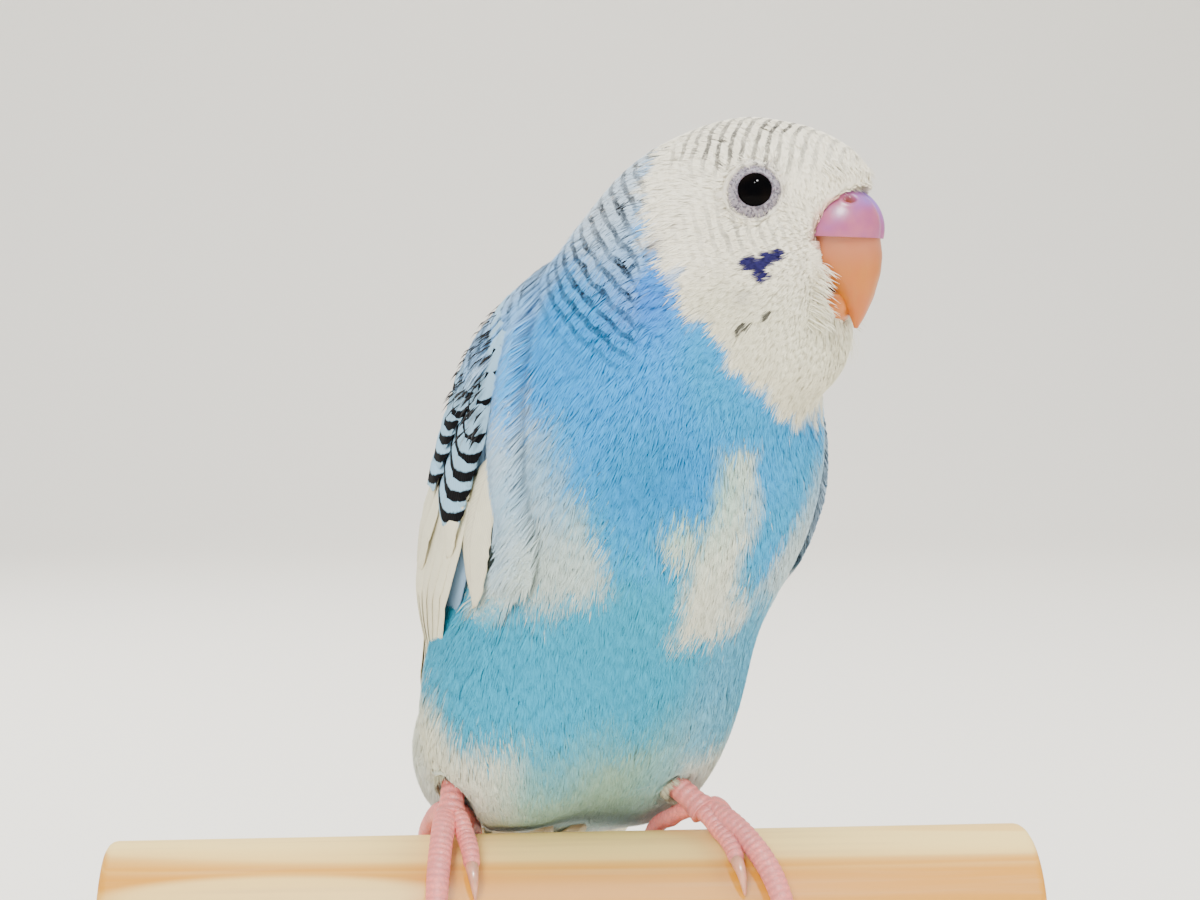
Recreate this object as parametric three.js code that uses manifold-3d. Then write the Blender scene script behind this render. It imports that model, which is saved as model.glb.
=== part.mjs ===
// A life-size budgerigar, gripping a short dowel perch that a plain display stand holds up.
// Millimetres, +Z up. The origin is on the floor under the middle of the perch, which lies along X.
// The bird looks towards -Y, with its body turned a little and its head turned far to its own left.
import * as THREE from "three";
import { mergeVertices } from "three/addons/utils/BufferGeometryUtils.js";
import Module from "manifold-3d";

const wasm = await Module();
wasm.setup();

// Gap between touching nodes
const GAP = 0.3;

// Perch and stand
const PERCH_RADIUS = 11;
const PERCH_LENGTH = 115;
const PERCH_CHAMFER = 1.2;
const BASE_SIZE = { x: 120, y: 88, z: 8, corner: 10, bevel: 1 };
const BASE_SHIFT_Y = 6;
const ROD_RADIUS = 3;
const ROD_SPACING = 84;
const PERCH_AXIS_Z = 82;

// Attitude of the trunk and the head, in degrees. A yaw turns from -Y towards +X.
const TRUNK_YAW = 20.5;
const TRUNK_LEAN = 26;
const HEAD_YAW = 62.5;
const HEAD_PITCH = -2;

// Places above the highest line of the perch
const PERCH_TOP = new THREE.Vector3(0, 0, PERCH_AXIS_Z + PERCH_RADIUS);
const VENT = new THREE.Vector3(0, 17, 4);
const HEAD_CENTRE = new THREE.Vector3(19.45, -20.4, 76.6);
const NECK_CENTRE = new THREE.Vector3(12.5, -11.5, 64);
const NECK_YAW = 42;

// Widths of the blend between neighbouring masses
const BODY_BLEND = 7;
const FACE_BLEND = 4;

// Frames: x to the bird's right, y to its front, z towards its crown
const UP = new THREE.Vector3(0, 0, 1);
const rad = THREE.MathUtils.degToRad;

function frame(origin, yaw, lean) {
  const front = new THREE.Vector3(Math.sin(rad(yaw)), -Math.cos(rad(yaw)), 0);
  const right = new THREE.Vector3().crossVectors(front, UP);
  const tilt = new THREE.Matrix4().makeRotationAxis(right, rad(-lean));
  front.applyMatrix4(tilt);
  const crown = new THREE.Vector3().crossVectors(right, front);
  return new THREE.Matrix4().makeBasis(right, front, crown).setPosition(PERCH_TOP.clone().add(origin));
}

const TRUNK = frame(VENT, TRUNK_YAW, TRUNK_LEAN);
const NECK = frame(NECK_CENTRE, NECK_YAW, TRUNK_LEAN);
const HEAD = frame(HEAD_CENTRE, HEAD_YAW, -HEAD_PITCH);

function at(place, x, y, z) {
  return new THREE.Vector3(x, y, z).applyMatrix4(place);
}

// The plumage's outer surface is a soft union of ellipsoids.
function mass(place, [x, y, z], radii, blend = BODY_BLEND) {
  return { inverse: place.clone().setPosition(at(place, x, y, z)).invert(), radii, blend };
}

const TRUNK_MASSES = [
  mass(TRUNK, [0.2, 0, 37], [20.9, 20.5, 40]),
  mass(TRUNK, [-1.4, 3.5, 50], [20.4, 18.5, 22]),
  mass(TRUNK, [0, -7, 55], [16, 15, 17]),
  mass(TRUNK, [0, -6, 2], [15.5, 11, 23]),
];
const FLANK_MASSES = [
  mass(TRUNK, [11.5, 3, 14], [11.8, 13.5, 18]),
  mass(TRUNK, [-7.9, 3, 13], [10.6, 13.5, 18]),
];
const TAIL_ROOT_MASS = mass(TRUNK, [0, -7, -20], [9, 4.6, 28]);
const HEAD_MASSES = [
  mass(NECK, [0, 0, 0], [16, 15, 15]),
  mass(HEAD, [0, -0.6, 0], [10.7, 10.2, 10.9]),
  mass(HEAD, [0, -7, -4.2], [10, 9.6, 10.8]),
  mass(HEAD, [0, 5.5, 2.9], [7.6, 8, 5.8], FACE_BLEND),
  mass(HEAD, [4.4, 1.9, -6.4], [6, 6.2, 6.8], FACE_BLEND),
  mass(HEAD, [-4.4, 1.9, -6.4], [6, 6.2, 6.8], FACE_BLEND),
  mass(HEAD, [-0.6, 2.8, -14.4], [9.6, 9, 8.6], FACE_BLEND),
];
const LEG_MASSES = [
  mass(TRUNK, [13.2, -2, 4.5], [8.4, 10, 12]),
  mass(TRUNK, [-10.4, 0, 4.5], [8, 10, 11.5]),
];
const WING_BED = [...TRUNK_MASSES, TAIL_ROOT_MASS, ...HEAD_MASSES];
const BODY_MASSES = [...WING_BED, ...FLANK_MASSES];

const probe = new THREE.Vector3();

function ellipsoidDistance({ inverse, radii }, point) {
  probe.copy(point).applyMatrix4(inverse);
  const near = Math.hypot(probe.x / radii[0], probe.y / radii[1], probe.z / radii[2]);
  const far = Math.hypot(probe.x / radii[0] ** 2, probe.y / radii[1] ** 2, probe.z / radii[2] ** 2);
  return far < 1e-9 ? -Math.min(...radii) : (near * (near - 1)) / far;
}

function softMinimum(a, b, width) {
  const share = Math.max(width - Math.abs(a - b), 0) / width;
  return Math.min(a, b) - (share * share * width) / 4;
}

function distanceTo(masses, point) {
  return masses.reduce((least, one) => softMinimum(least, ellipsoidDistance(one, point), one.blend), 1e3);
}

// The distance from start, along a unit direction, at which the surface lies
function reach(masses, start, direction, longest = 60) {
  let inside = 0;
  let outside = longest;
  const point = new THREE.Vector3();
  for (let step = 0; step < 26; step++) {
    const middle = (inside + outside) / 2;
    point.copy(start).addScaledVector(direction, middle);
    if (distanceTo(masses, point) < 0) inside = middle;
    else outside = middle;
  }
  return inside;
}

// The direction straight out of the surface
function outward(masses, point) {
  const slope = (axis) => {
    const step = new THREE.Vector3().setComponent(axis, 0.2);
    return distanceTo(masses, point.clone().add(step)) - distanceTo(masses, point.clone().sub(step));
  };
  return new THREE.Vector3(slope(0), slope(1), slope(2)).normalize();
}

// Closed meshes from rings of points. A ring with one point is a pole, and an open end is closed by a fan.
function skin(rings) {
  const points = [];
  const faces = [];
  const starts = rings.map((ring) => points.push(...ring) - ring.length);
  rings.slice(1).forEach((upper, index) => {
    const lower = rings[index];
    const count = Math.max(lower.length, upper.length);
    for (let i = 0; i < count; i++) {
      const next = (i + 1) % count;
      const a = starts[index] + (lower.length > 1 ? i : 0);
      const b = starts[index] + (lower.length > 1 ? next : 0);
      const c = starts[index + 1] + (upper.length > 1 ? next : 0);
      const d = starts[index + 1] + (upper.length > 1 ? i : 0);
      if (lower.length > 1) faces.push(a, b, c);
      if (upper.length > 1) faces.push(a, c, d);
    }
  });
  const close = (ring, start, flip) => {
    if (ring.length === 1) return;
    const middle = ring.reduce((sum, p) => sum.add(p), new THREE.Vector3()).divideScalar(ring.length);
    const hub = points.push(middle) - 1;
    ring.forEach((_, i) => {
      const next = start + ((i + 1) % ring.length);
      faces.push(...(flip ? [next, start + i, hub] : [start + i, next, hub]));
    });
  };
  close(rings[0], starts[0], true);
  close(rings.at(-1), starts.at(-1), false);
  const geometry = new THREE.BufferGeometry().setFromPoints(points);
  geometry.setIndex(faces);
  return geometry;
}

// Solids for cuts and joins
function solid(geometry) {
  const bare = geometry.clone();
  bare.deleteAttribute("normal");
  bare.deleteAttribute("uv");
  const merged = mergeVertices(bare, 1e-4);
  const made = new wasm.Manifold(
    new wasm.Mesh({
      numProp: 3,
      vertProperties: new Float32Array(merged.attributes.position.array),
      triVerts: new Uint32Array(merged.index.array),
    }),
  );
  if (made.volume() > 0) return made;
  const turned = Uint32Array.from(merged.index.array).reverse();
  return new wasm.Manifold(
    new wasm.Mesh({ numProp: 3, vertProperties: merged.attributes.position.array, triVerts: turned }),
  );
}

function joined(solids) {
  return solids.slice(1).reduce((sum, one) => sum.add(one), solids[0]);
}

function largest(made) {
  return made.decompose().reduce((best, one) => (one.volume() > best.volume() ? one : best));
}

function geometryOf(made) {
  const mesh = made.getMesh();
  const positions = new Float32Array(mesh.numVert * 3);
  for (let i = 0; i < mesh.numVert; i++) {
    positions.set(mesh.vertProperties.subarray(i * mesh.numProp, i * mesh.numProp + 3), i * 3);
  }
  const geometry = new THREE.BufferGeometry();
  geometry.setAttribute("position", new THREE.BufferAttribute(positions, 3));
  geometry.setIndex(new THREE.BufferAttribute(new Uint32Array(mesh.triVerts), 1));
  return geometry;
}

// A ring of points where rays in a plane meet the body's surface, grown outwards by a margin
function bodyRing(masses, centre, front, side, count, grow = 0) {
  const ring = [];
  for (let i = 0; i < count; i++) {
    const angle = (2 * Math.PI * i) / count;
    const ray = front.clone().multiplyScalar(Math.cos(angle)).addScaledVector(side, Math.sin(angle));
    ring.push(centre.clone().addScaledVector(ray, reach(masses, centre, ray) + grow));
  }
  return ring;
}

// The line through the body's middle, from the tail's root to the crown
const TAIL_ROOT_LEVEL = -44;
const SPINE = new THREE.CatmullRomCurve3(
  [
    at(TRUNK, 0, -7, TAIL_ROOT_LEVEL),
    at(TRUNK, 0, -6, -14),
    at(TRUNK, 0, -2, 6),
    at(TRUNK, 0, 0, 28),
    at(TRUNK, 0, 0, 46),
    at(NECK, 0, 0, 0),
    at(HEAD, 0, -1.5, 4),
    at(HEAD, 1, 1.5, 18),
  ],
  false,
  "centripetal",
);
const SPINE_LENGTH = SPINE.getLength();
const TWIST_START = 86;
const TWIST_END = 116;

function spineFrame(length) {
  const share = length / SPINE_LENGTH;
  const along = SPINE.getTangentAt(share);
  const turn = THREE.MathUtils.smoothstep(length, TWIST_START, TWIST_END);
  const yaw = rad(THREE.MathUtils.lerp(TRUNK_YAW, HEAD_YAW, turn));
  const front = new THREE.Vector3(Math.sin(yaw), -Math.cos(yaw), 0);
  front.addScaledVector(along, -front.dot(along)).normalize();
  const side = new THREE.Vector3().crossVectors(along, front);
  return { centre: SPINE.getPointAt(share), along, front, side };
}

function spineRing(length, count, grow, shift = 0) {
  const { centre, along, front, side } = spineFrame(length);
  return bodyRing(BODY_MASSES, centre.addScaledVector(along, shift), front, side, count, grow);
}

// Where the spine leaves the body, past a length that is still inside it
function spineEnd(insideLength, outsideLength) {
  let inside = insideLength;
  let outside = outsideLength;
  for (let step = 0; step < 26; step++) {
    const middle = (inside + outside) / 2;
    if (distanceTo(BODY_MASSES, SPINE.getPointAt(middle / SPINE_LENGTH)) < 0) inside = middle;
    else outside = middle;
  }
  return inside;
}

// Stretches of the body between cuts across the spine, with rings closer together towards a rounded end.
// Both sides of a cut are flat and parallel, half a gap away from it.
const TAIL_CUT = 30;
const NECK_CUT = 100;
const HEAD_CUT = 112;
const TRUNK_SIDES = 28;
const TRUNK_RINGS = 17;
const NECK_RINGS = 4;
const HEAD_RINGS = 13;
const TAIL_ROOT_SIDES = 18;
const TAIL_ROOT_RINGS = 7;

function stretch(from, to, count, sides, { rounded = false, grow = 0 } = {}) {
  const rings = Array.from({ length: count + 1 }, (_, i) => {
    const share = rounded ? Math.sin(((i / count) * Math.PI) / 2) : i / count;
    const length = THREE.MathUtils.lerp(from, to, share);
    if (rounded && i === count) return [SPINE.getPointAt(length / SPINE_LENGTH)];
    const shift = i === 0 ? GAP / 2 : i === count ? -GAP / 2 : 0;
    return spineRing(length, sides, grow, shift);
  });
  return solid(skin(rings));
}

const CROWN_END = spineEnd(HEAD_CUT, SPINE_LENGTH);

// Rounded shapes in a frame
function blob(place, [x, y, z], [right, front, crown], grow = 0, segments = 20) {
  const ball = new THREE.SphereGeometry(1, segments, Math.round(segments * 0.6));
  ball.rotateX(Math.PI / 2).scale(right + grow, front + grow, crown + grow).translate(x, y, z);
  return solid(ball.applyMatrix4(place));
}

function block(place, [x0, y0, z0], [x1, y1, z1]) {
  const box = new THREE.BoxGeometry(x1 - x0, y1 - y0, z1 - z0);
  return solid(box.translate((x0 + x1) / 2, (y0 + y1) / 2, (z0 + z1) / 2).applyMatrix4(place));
}

// A closed tube along a path
function tube(path, radii, sides, grow = 0) {
  const tangent = (i) =>
    path[Math.min(i + 1, path.length - 1)].clone().sub(path[Math.max(i - 1, 0)]).normalize();
  const normal = new THREE.Vector3(1, 0, 0);
  if (Math.abs(tangent(0).x) > 0.9) normal.set(0, 1, 0);
  const rings = path.map((point, i) => {
    const along = tangent(i);
    normal.addScaledVector(along, -normal.dot(along)).normalize();
    const across = new THREE.Vector3().crossVectors(along, normal);
    return Array.from({ length: sides }, (_, k) => {
      const angle = (2 * Math.PI * k) / sides;
      return point
        .clone()
        .addScaledVector(normal, (radii[i] + grow) * Math.cos(angle))
        .addScaledVector(across, (radii[i] + grow) * Math.sin(angle));
    });
  });
  return solid(skin(rings));
}

// A closed plate between two grids of points of the same size
function plate(outer, inner) {
  const rows = outer.length;
  const columns = outer[0].length;
  const points = [...outer.flat(), ...inner.flat()];
  const faces = [];
  const quad = (a, b, c, d) => faces.push(a, b, c, a, c, d);
  const upper = (i, j) => i * columns + j;
  const lower = (i, j) => rows * columns + i * columns + j;
  for (let i = 0; i + 1 < rows; i++) {
    for (let j = 0; j + 1 < columns; j++) {
      quad(upper(i, j), upper(i + 1, j), upper(i + 1, j + 1), upper(i, j + 1));
      quad(lower(i, j), lower(i, j + 1), lower(i + 1, j + 1), lower(i + 1, j));
    }
    quad(upper(i, 0), lower(i, 0), lower(i + 1, 0), upper(i + 1, 0));
    const end = columns - 1;
    quad(upper(i, end), upper(i + 1, end), lower(i + 1, end), lower(i, end));
  }
  for (let j = 0; j + 1 < columns; j++) {
    quad(upper(0, j), upper(0, j + 1), lower(0, j + 1), lower(0, j));
    quad(upper(rows - 1, j), lower(rows - 1, j), lower(rows - 1, j + 1), upper(rows - 1, j + 1));
  }
  const geometry = new THREE.BufferGeometry().setFromPoints(points);
  geometry.setIndex(faces);
  return solid(geometry);
}

function between(marks, where) {
  const last = marks.findIndex(([mark]) => where >= mark);
  if (last < 0) return marks.at(-1)[1];
  if (last === 0) return marks[0][1];
  const [high, highValue] = marks[last - 1];
  const [low, lowValue] = marks[last];
  return THREE.MathUtils.lerp(lowValue, highValue, (where - low) / (high - low));
}

// Small repeatable differences between one vane and the next
const SCATTER_TURN = 127.1;
const SCATTER_GAIN = 43758.5;

function scatter(seed) {
  const wave = Math.sin((seed + 1) * SCATTER_TURN) * SCATTER_GAIN;
  return (wave - Math.floor(wave)) * 2 - 1;
}

// A vane is a thin plate in sections from its root to its pointed tip.
const SHORT_VANE = [[0, 0.85], [0.66, 1], [1, 0.2]];
const LONG_VANE = [[0, 0.7], [0.22, 0.9], [0.44, 1], [0.64, 0.95], [0.84, 0.7], [1, 0.16]];

function vane(sections, width, placeOf) {
  const row = (share, half, upper) => [-1, 1].map((edge) => placeOf(share, edge, half, upper));
  const rows = (upper) => sections.map(([share, breadth]) => row(share, (width * breadth) / 2, upper));
  return plate(rows(true), rows(false));
}

// Folded wings, tucked under the flanks. A place on one is a level along the trunk's axis
// and an angle around it from the breast.
const WING_REST = 0.85;
const WING_CORE_TOP = 61;
const WING_CORE_TIP = -24;
const WING_CORE_LOWER = [
  [61, 108], [57, 92], [50, 80], [42, 76],
  [30, 84], [20, 110], [0, 126], [-24, 146],
];
const WING_CORE_UPPER = [[61, 134], [57, 150], [45, 168], [10, 170], [-24, 160]];
const WING_CORE_THICKNESS = 1.1;
const WING_CORE_EDGE = 0.55;
const WING_CORE_ROWS = 12;
const WING_CORE_COLUMNS = 6;
const VANE_BED = 0.2;
const VANE_THICKNESS = 0.55;
const VANE_TILT = 0.25;
const VANE_ROOT = 0.3;
const VANE_RISE = 2;

// Tiers from the flight feathers up to the shoulder: rows of roots and tips as [level, angle]
const WING_TIERS = {
  primaries: {
    count: 4,
    roots: [[36, 85], [30, 112]],
    tips: [[-32, 150], [-7, 152]],
    width: 5.6, height: 2.6, step: 0.2,
  },
  secondaries: {
    count: 4,
    roots: [[36, 116], [38, 144]],
    tips: [[3, 148], [10, 163]],
    width: 6.4, height: 1.7, step: 0.2,
  },
  tertials: {
    count: 2,
    roots: [[38, 152], [40, 163]],
    tips: [[16, 160], [22, 168]],
    width: 6, height: 2, step: 0.2,
  },
  fingers: {
    count: 3,
    roots: [[48, 69], [47, 90]],
    tips: [[32.5, 70], [34, 90]],
    width: 4.2, height: 1.5, step: 0.1,
  },
  greaterCoverts: {
    count: 5,
    roots: [[43, 102], [44, 160]],
    tips: [[30, 106], [32, 164]],
    width: 6.6, height: 1.9, step: 0.1,
  },
  medianCoverts: {
    count: 5,
    roots: [[51, 90], [52, 155]],
    tips: [[40, 86], [42, 161]],
    width: 7.4, height: 1.5, step: 0.1,
  },
  lesserCoverts: {
    count: 4,
    roots: [[60, 100], [61, 146]],
    tips: [[49, 92], [51, 154]],
    width: 8.2, height: 1.3, step: 0.1,
  },
  scapulars: {
    count: 2,
    roots: [[59, 156], [58, 164]],
    tips: [[45, 161], [44, 167]],
    width: 5.4, height: 1.9, step: 0.1,
  },
};
const LONG_TIERS = ["primaries", "secondaries"];

// The left wing's lower edge is drawn further in under the breast.
const LEFT_TUCK = 10;
const TUCK_END = 130;

function wingAxis(level) {
  return at(TRUNK, 0, THREE.MathUtils.lerp(-7, -1, THREE.MathUtils.smoothstep(level, -14, 14)), level);
}

function onWing(side, level, angle, height) {
  const centre = wingAxis(level);
  const turn = rad(side > 0 ? angle : angle + LEFT_TUCK * Math.max(0, (TUCK_END - angle) / TUCK_END));
  const ray = new THREE.Vector3(side * Math.sin(turn), Math.cos(turn), 0).transformDirection(TRUNK);
  return centre.clone().addScaledVector(ray, reach(WING_BED, centre, ray) + height);
}

function wingGrid(side, height) {
  return Array.from({ length: WING_CORE_ROWS + 1 }, (_, i) => {
    const level = THREE.MathUtils.lerp(WING_CORE_TOP, WING_CORE_TIP, i / WING_CORE_ROWS);
    const [lower, upper] = [between(WING_CORE_LOWER, level), between(WING_CORE_UPPER, level)];
    return Array.from({ length: WING_CORE_COLUMNS + 1 }, (_, j) => {
      const share = j / WING_CORE_COLUMNS;
      return onWing(side, level, THREE.MathUtils.lerp(lower, upper, share), height(share));
    });
  });
}

function wingTier(side, name, { count, roots, tips, width, height, step }, tier) {
  return Array.from({ length: count }, (_, i) => {
    const row = i / (count - 1);
    const odd = scatter(10 * tier + i);
    const inRow = ([first, last]) => first.map((value, k) => THREE.MathUtils.lerp(value, last[k], row));
    const [rootLevel, rootAngle] = inRow(roots);
    const [tipLevel, tipAngle] = inRow(tips);
    const placeOf = (share, edge, half, upper) => {
      const level = THREE.MathUtils.lerp(rootLevel, tipLevel + 0.7 * odd, share);
      const angle = THREE.MathUtils.lerp(rootAngle, tipAngle, share);
      const radius = onWing(side, level, angle, 0).distanceTo(wingAxis(level));
      const top = THREE.MathUtils.lerp(VANE_ROOT, height, Math.min(1, share * VANE_RISE)) + i * step;
      const thickness = VANE_THICKNESS * (1 - 0.6 * share ** 4);
      const rise = upper ? top + thickness - edge * VANE_TILT * share : VANE_BED;
      const turn = THREE.MathUtils.radToDeg((edge * half) / radius);
      return onWing(side, level, angle + turn, WING_REST + rise);
    };
    return vane(LONG_TIERS.includes(name) ? LONG_VANE : SHORT_VANE, width * (1 + 0.05 * odd), placeOf);
  });
}

function wing(side) {
  const bulge = (share) =>
    WING_REST + THREE.MathUtils.lerp(WING_CORE_EDGE, WING_CORE_THICKNESS, Math.sin(Math.PI * share));
  const core = plate(wingGrid(side, bulge), wingGrid(side, () => WING_REST));
  const tiers = Object.entries(WING_TIERS).flatMap(([name, tier], i) => wingTier(side, name, tier, i));
  return joined([core, ...tiers]).subtract(trunkRoom).subtract(thigh(side, GAP));
}

// Tail. Pairs of vanes from the long middle pair on top to the short outer pair below.
const TAIL_DEPTH = -8.8;
const TAIL_START = -20;
const TAIL_LENGTHS = [78, 59, 49, 41, 34];
const TAIL_WIDTHS = [7.4, 7.4, 7.4, 7, 6.6];
const TAIL_LAYER = 0.6;
const TAIL_ROOT_SPREAD = 0.6;
const TAIL_TIP_SPREAD = 1.5;
const TAIL_SLOPE = 0.04;

function tail() {
  const vanes = TAIL_LENGTHS.flatMap((length, i) =>
    [-1, 1].map((side) => {
      const odd = scatter(200 + 2 * i + side);
      const placeOf = (share, edge, half, upper) => {
        const spread = THREE.MathUtils.lerp(TAIL_ROOT_SPREAD, TAIL_TIP_SPREAD, share);
        const x = side * (1 + i * spread) + edge * half;
        const deep = upper ? VANE_THICKNESS * (1 - 0.5 * share ** 4) : 0;
        const layer = i * TAIL_LAYER + (side > 0 ? 0.3 : 0) + TAIL_SLOPE * Math.abs(x);
        return at(TRUNK, x, TAIL_DEPTH + layer - deep, TAIL_START - (length + odd) * share);
      };
      return vane(SHORT_VANE, TAIL_WIDTHS[i], placeOf);
    }),
  );
  return joined([stretch(0.5, TAIL_CUT, TAIL_ROOT_RINGS, TAIL_ROOT_SIDES), ...vanes]);
}

// Legs and feet. A place on a toe is a distance along the perch and an angle over it,
// forwards or backwards.
const above = (x, y, z) => new THREE.Vector3(x, y, z).add(PERCH_TOP);
const TOE_SIDES = 7;
const TOE_STEPS = 8;
const TOE_SPLAY = 1.8;
const CLAW_STEPS = 4;
const CLAW_SIDES = 6;
const FEET = {
  right: {
    hock: above(-14.3, 7.4, 9.5),
    palm: above(-15.4, -0.6, 2.7),
    toes: {
      1: { x: [-14.2, -12.2], turn: [-8, -52], claw: -74, radius: 1.25 },
      2: { x: [-14.4, -12.9], turn: [6, 42], claw: 60, radius: 1.3 },
      3: { x: [-16, -17.3], turn: [6, 84], claw: 108, radius: 1.6 },
      4: { x: [-16.4, -18.6], turn: [-8, -70], claw: -94, radius: 1.5 },
    },
  },
  left: {
    hock: above(9.8, 6.4, 7),
    palm: above(16.2, -0.4, 2.7),
    toes: {
      1: { x: [15, 10.6], turn: [-8, -52], claw: -74, radius: 1.25 },
      2: { x: [16.2, 19.2], turn: [6, 42], claw: 60, radius: 1.3 },
      3: { x: [17.6, 24.8], turn: [6, 84], claw: 108, radius: 1.6 },
      4: { x: [17.8, 21.4], turn: [-8, -70], claw: -94, radius: 1.5 },
    },
  },
};
const TARSUS_RADIUS = 1.7;
const CLAW_RADIUS = 0.8;
const CLAW_TIP_RADIUS = 0.18;

function onPerch(x, degrees, height) {
  const distance = PERCH_RADIUS + height;
  return new THREE.Vector3(
    x,
    -distance * Math.sin(rad(degrees)),
    PERCH_AXIS_Z + distance * Math.cos(rad(degrees)),
  );
}

function toeEnd({ radius }) {
  return radius * 0.82;
}

function toe(palm, one, grow) {
  const shares = Array.from({ length: TOE_STEPS + 1 }, (_, i) => i / TOE_STEPS);
  const radii = shares.map((share) => one.radius - (one.radius - toeEnd(one)) * share ** 3);
  const path = shares.map((share, i) =>
    onPerch(
      THREE.MathUtils.lerp(...one.x, 1 - (1 - share) ** TOE_SPLAY),
      THREE.MathUtils.lerp(...one.turn, share),
      GAP + 0.1 + THREE.MathUtils.lerp(2.4, radii[i], Math.min(1, share * 3)),
    ),
  );
  return tube([palm, ...path], [one.radius, ...radii], TOE_SIDES, grow);
}

function claw({ x, turn, claw: tip, radius }) {
  const sign = Math.sign(tip);
  const slope = (0.5 * (x[1] - x[0])) / (turn[1] - turn[0]);
  const start = turn[1] + sign * THREE.MathUtils.radToDeg(GAP / (PERCH_RADIUS + radius));
  const shares = Array.from({ length: CLAW_STEPS + 1 }, (_, i) => i / CLAW_STEPS);
  const radii = shares.map((share) => THREE.MathUtils.lerp(CLAW_RADIUS, CLAW_TIP_RADIUS, share ** 1.3));
  const path = shares.map((share) => {
    const degrees = THREE.MathUtils.lerp(start, tip, share);
    const rise = THREE.MathUtils.lerp(radius * 1.25, CLAW_TIP_RADIUS + 0.25, share ** 1.5);
    const arch = 0.5 * Math.sin(Math.PI * share);
    return onPerch(x[1] + slope * (degrees - turn[1]), degrees, GAP + rise + arch);
  });
  return tube(path, radii, CLAW_SIDES);
}

function tarsus({ hock, palm }, grow) {
  const middle = hock.clone().lerp(palm, 0.6).add(new THREE.Vector3(0, 0, 0.8));
  const curve = new THREE.QuadraticBezierCurve3(hock, middle, palm);
  const path = curve.getPoints(5);
  return tube(path, path.map((_, i) => TARSUS_RADIUS + (i === path.length - 1 ? 0.4 : 0)), 10, grow);
}

function foot(one, grow = 0) {
  return joined([tarsus(one, grow), ...Object.values(one.toes).map((each) => toe(one.palm, each, grow))]);
}

function thigh(side, grow = 0) {
  const { inverse, radii } = LEG_MASSES[side > 0 ? 0 : 1];
  return blob(inverse.clone().invert(), [0, 0, 0], radii, grow, 18);
}

function leg(side, one) {
  return thigh(side).subtract(joined([trunkRoom, perchRoom(), foot(one, GAP + 0.05)]));
}

function perchRoom() {
  const room = new THREE.CylinderGeometry(PERCH_RADIUS + GAP, PERCH_RADIUS + GAP, PERCH_LENGTH, 96);
  return solid(room.rotateZ(Math.PI / 2).translate(0, 0, PERCH_AXIS_Z));
}

// Eyes, cere and bill
const EYE = { y: 3, z: 1.6, radius: 3.3, stands: 0.6, sides: 14 };
const LID = { ring: 2.6, thickness: 0.45, sunk: 0.1, sides: 16 };
const CERE = { centre: [0, 10.2, -1.9], radii: [5.4, 5, 4.9], lowest: -2.9 };
const NOSTRIL = { x: 2.3, y: 12.6, z: 1.1, radius: 0.55 };
const BILL_TOP = -3.2;
const BILL_TIP = -11.9;
const BILL_FRONT = [[-3.2, 14.6], [-4.8, 14.9], [-6.8, 14.8], [-9.1, 14.2], [-10.9, 13.4], [-11.9, 12.8]];
const BILL_BACK = [[-3.2, 5.5], [-6.8, 8.6], [-9.1, 10.6], [-10.9, 11.9], [-11.9, 12.2]];
const BILL_HALF_WIDTH = [[-3.2, 4.5], [-6.8, 3.6], [-9.1, 2.5], [-10.9, 1.1], [-11.9, 0.35]];
const BILL_RINGS = 8;
const BILL_SIDES = 14;
const LOWER_BILL = { centre: [0, 8.8, -9.5], radii: [2.9, 2.4, 2.4] };

// A frame where an eye breaks the face's surface, with its z axis straight out
function eyePlace(side) {
  const middle = at(HEAD, 0, EYE.y, EYE.z);
  const sideways = new THREE.Vector3(side, 0, 0).transformDirection(HEAD);
  const surface = middle.clone().addScaledVector(sideways, reach(BODY_MASSES, middle, sideways));
  const out = outward(BODY_MASSES, surface);
  const turn = new THREE.Quaternion().setFromUnitVectors(UP, out);
  return new THREE.Matrix4().makeRotationFromQuaternion(turn).setPosition(surface);
}

function eye(side, grow = 0) {
  const { radius, stands, sides } = EYE;
  return blob(eyePlace(side), [0, 0, stands - radius], [radius, radius, radius], grow, sides);
}

function lid(side) {
  const ring = new THREE.TorusGeometry(LID.ring, LID.thickness, 4, LID.sides);
  return solid(ring.translate(0, 0, -LID.sunk).applyMatrix4(eyePlace(side)));
}

function cere(grow = 0) {
  const [right, front, crown] = CERE.radii;
  return blob(HEAD, CERE.centre, [right, front, crown], grow, 20).subtract(
    block(HEAD, [-10, 0, -20], [10, 20, CERE.lowest - grow]),
  );
}

function nostril(side) {
  const inside = at(HEAD, side * NOSTRIL.x * 0.55, NOSTRIL.y - 1.4, NOSTRIL.z - 0.6);
  const outside = at(HEAD, side * NOSTRIL.x * 1.3, NOSTRIL.y + 1, NOSTRIL.z + 0.6);
  return tube([inside, outside], [NOSTRIL.radius * 0.7, NOSTRIL.radius], 10);
}

function upperBill(grow = 0) {
  const rings = Array.from({ length: BILL_RINGS + 1 }, (_, i) => {
    const level = THREE.MathUtils.lerp(BILL_TOP, BILL_TIP, i / BILL_RINGS);
    const front = between(BILL_FRONT, level) + grow;
    const back = between(BILL_BACK, level) - grow;
    const width = between(BILL_HALF_WIDTH, level) + grow;
    const shift = i === 0 ? grow : i === BILL_RINGS ? -grow : 0;
    return Array.from({ length: BILL_SIDES }, (_, k) => {
      const angle = (2 * Math.PI * k) / BILL_SIDES;
      const half = (front - back) / 2;
      return at(HEAD, width * Math.sin(angle), (front + back) / 2 + half * Math.cos(angle), level + shift);
    });
  });
  return solid(skin(rings));
}

function lowerBill(grow = 0) {
  return blob(HEAD, LOWER_BILL.centre, LOWER_BILL.radii, grow, 14);
}

function trunk(options) {
  return stretch(TAIL_CUT, NECK_CUT, TRUNK_RINGS, TRUNK_SIDES, options);
}

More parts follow.
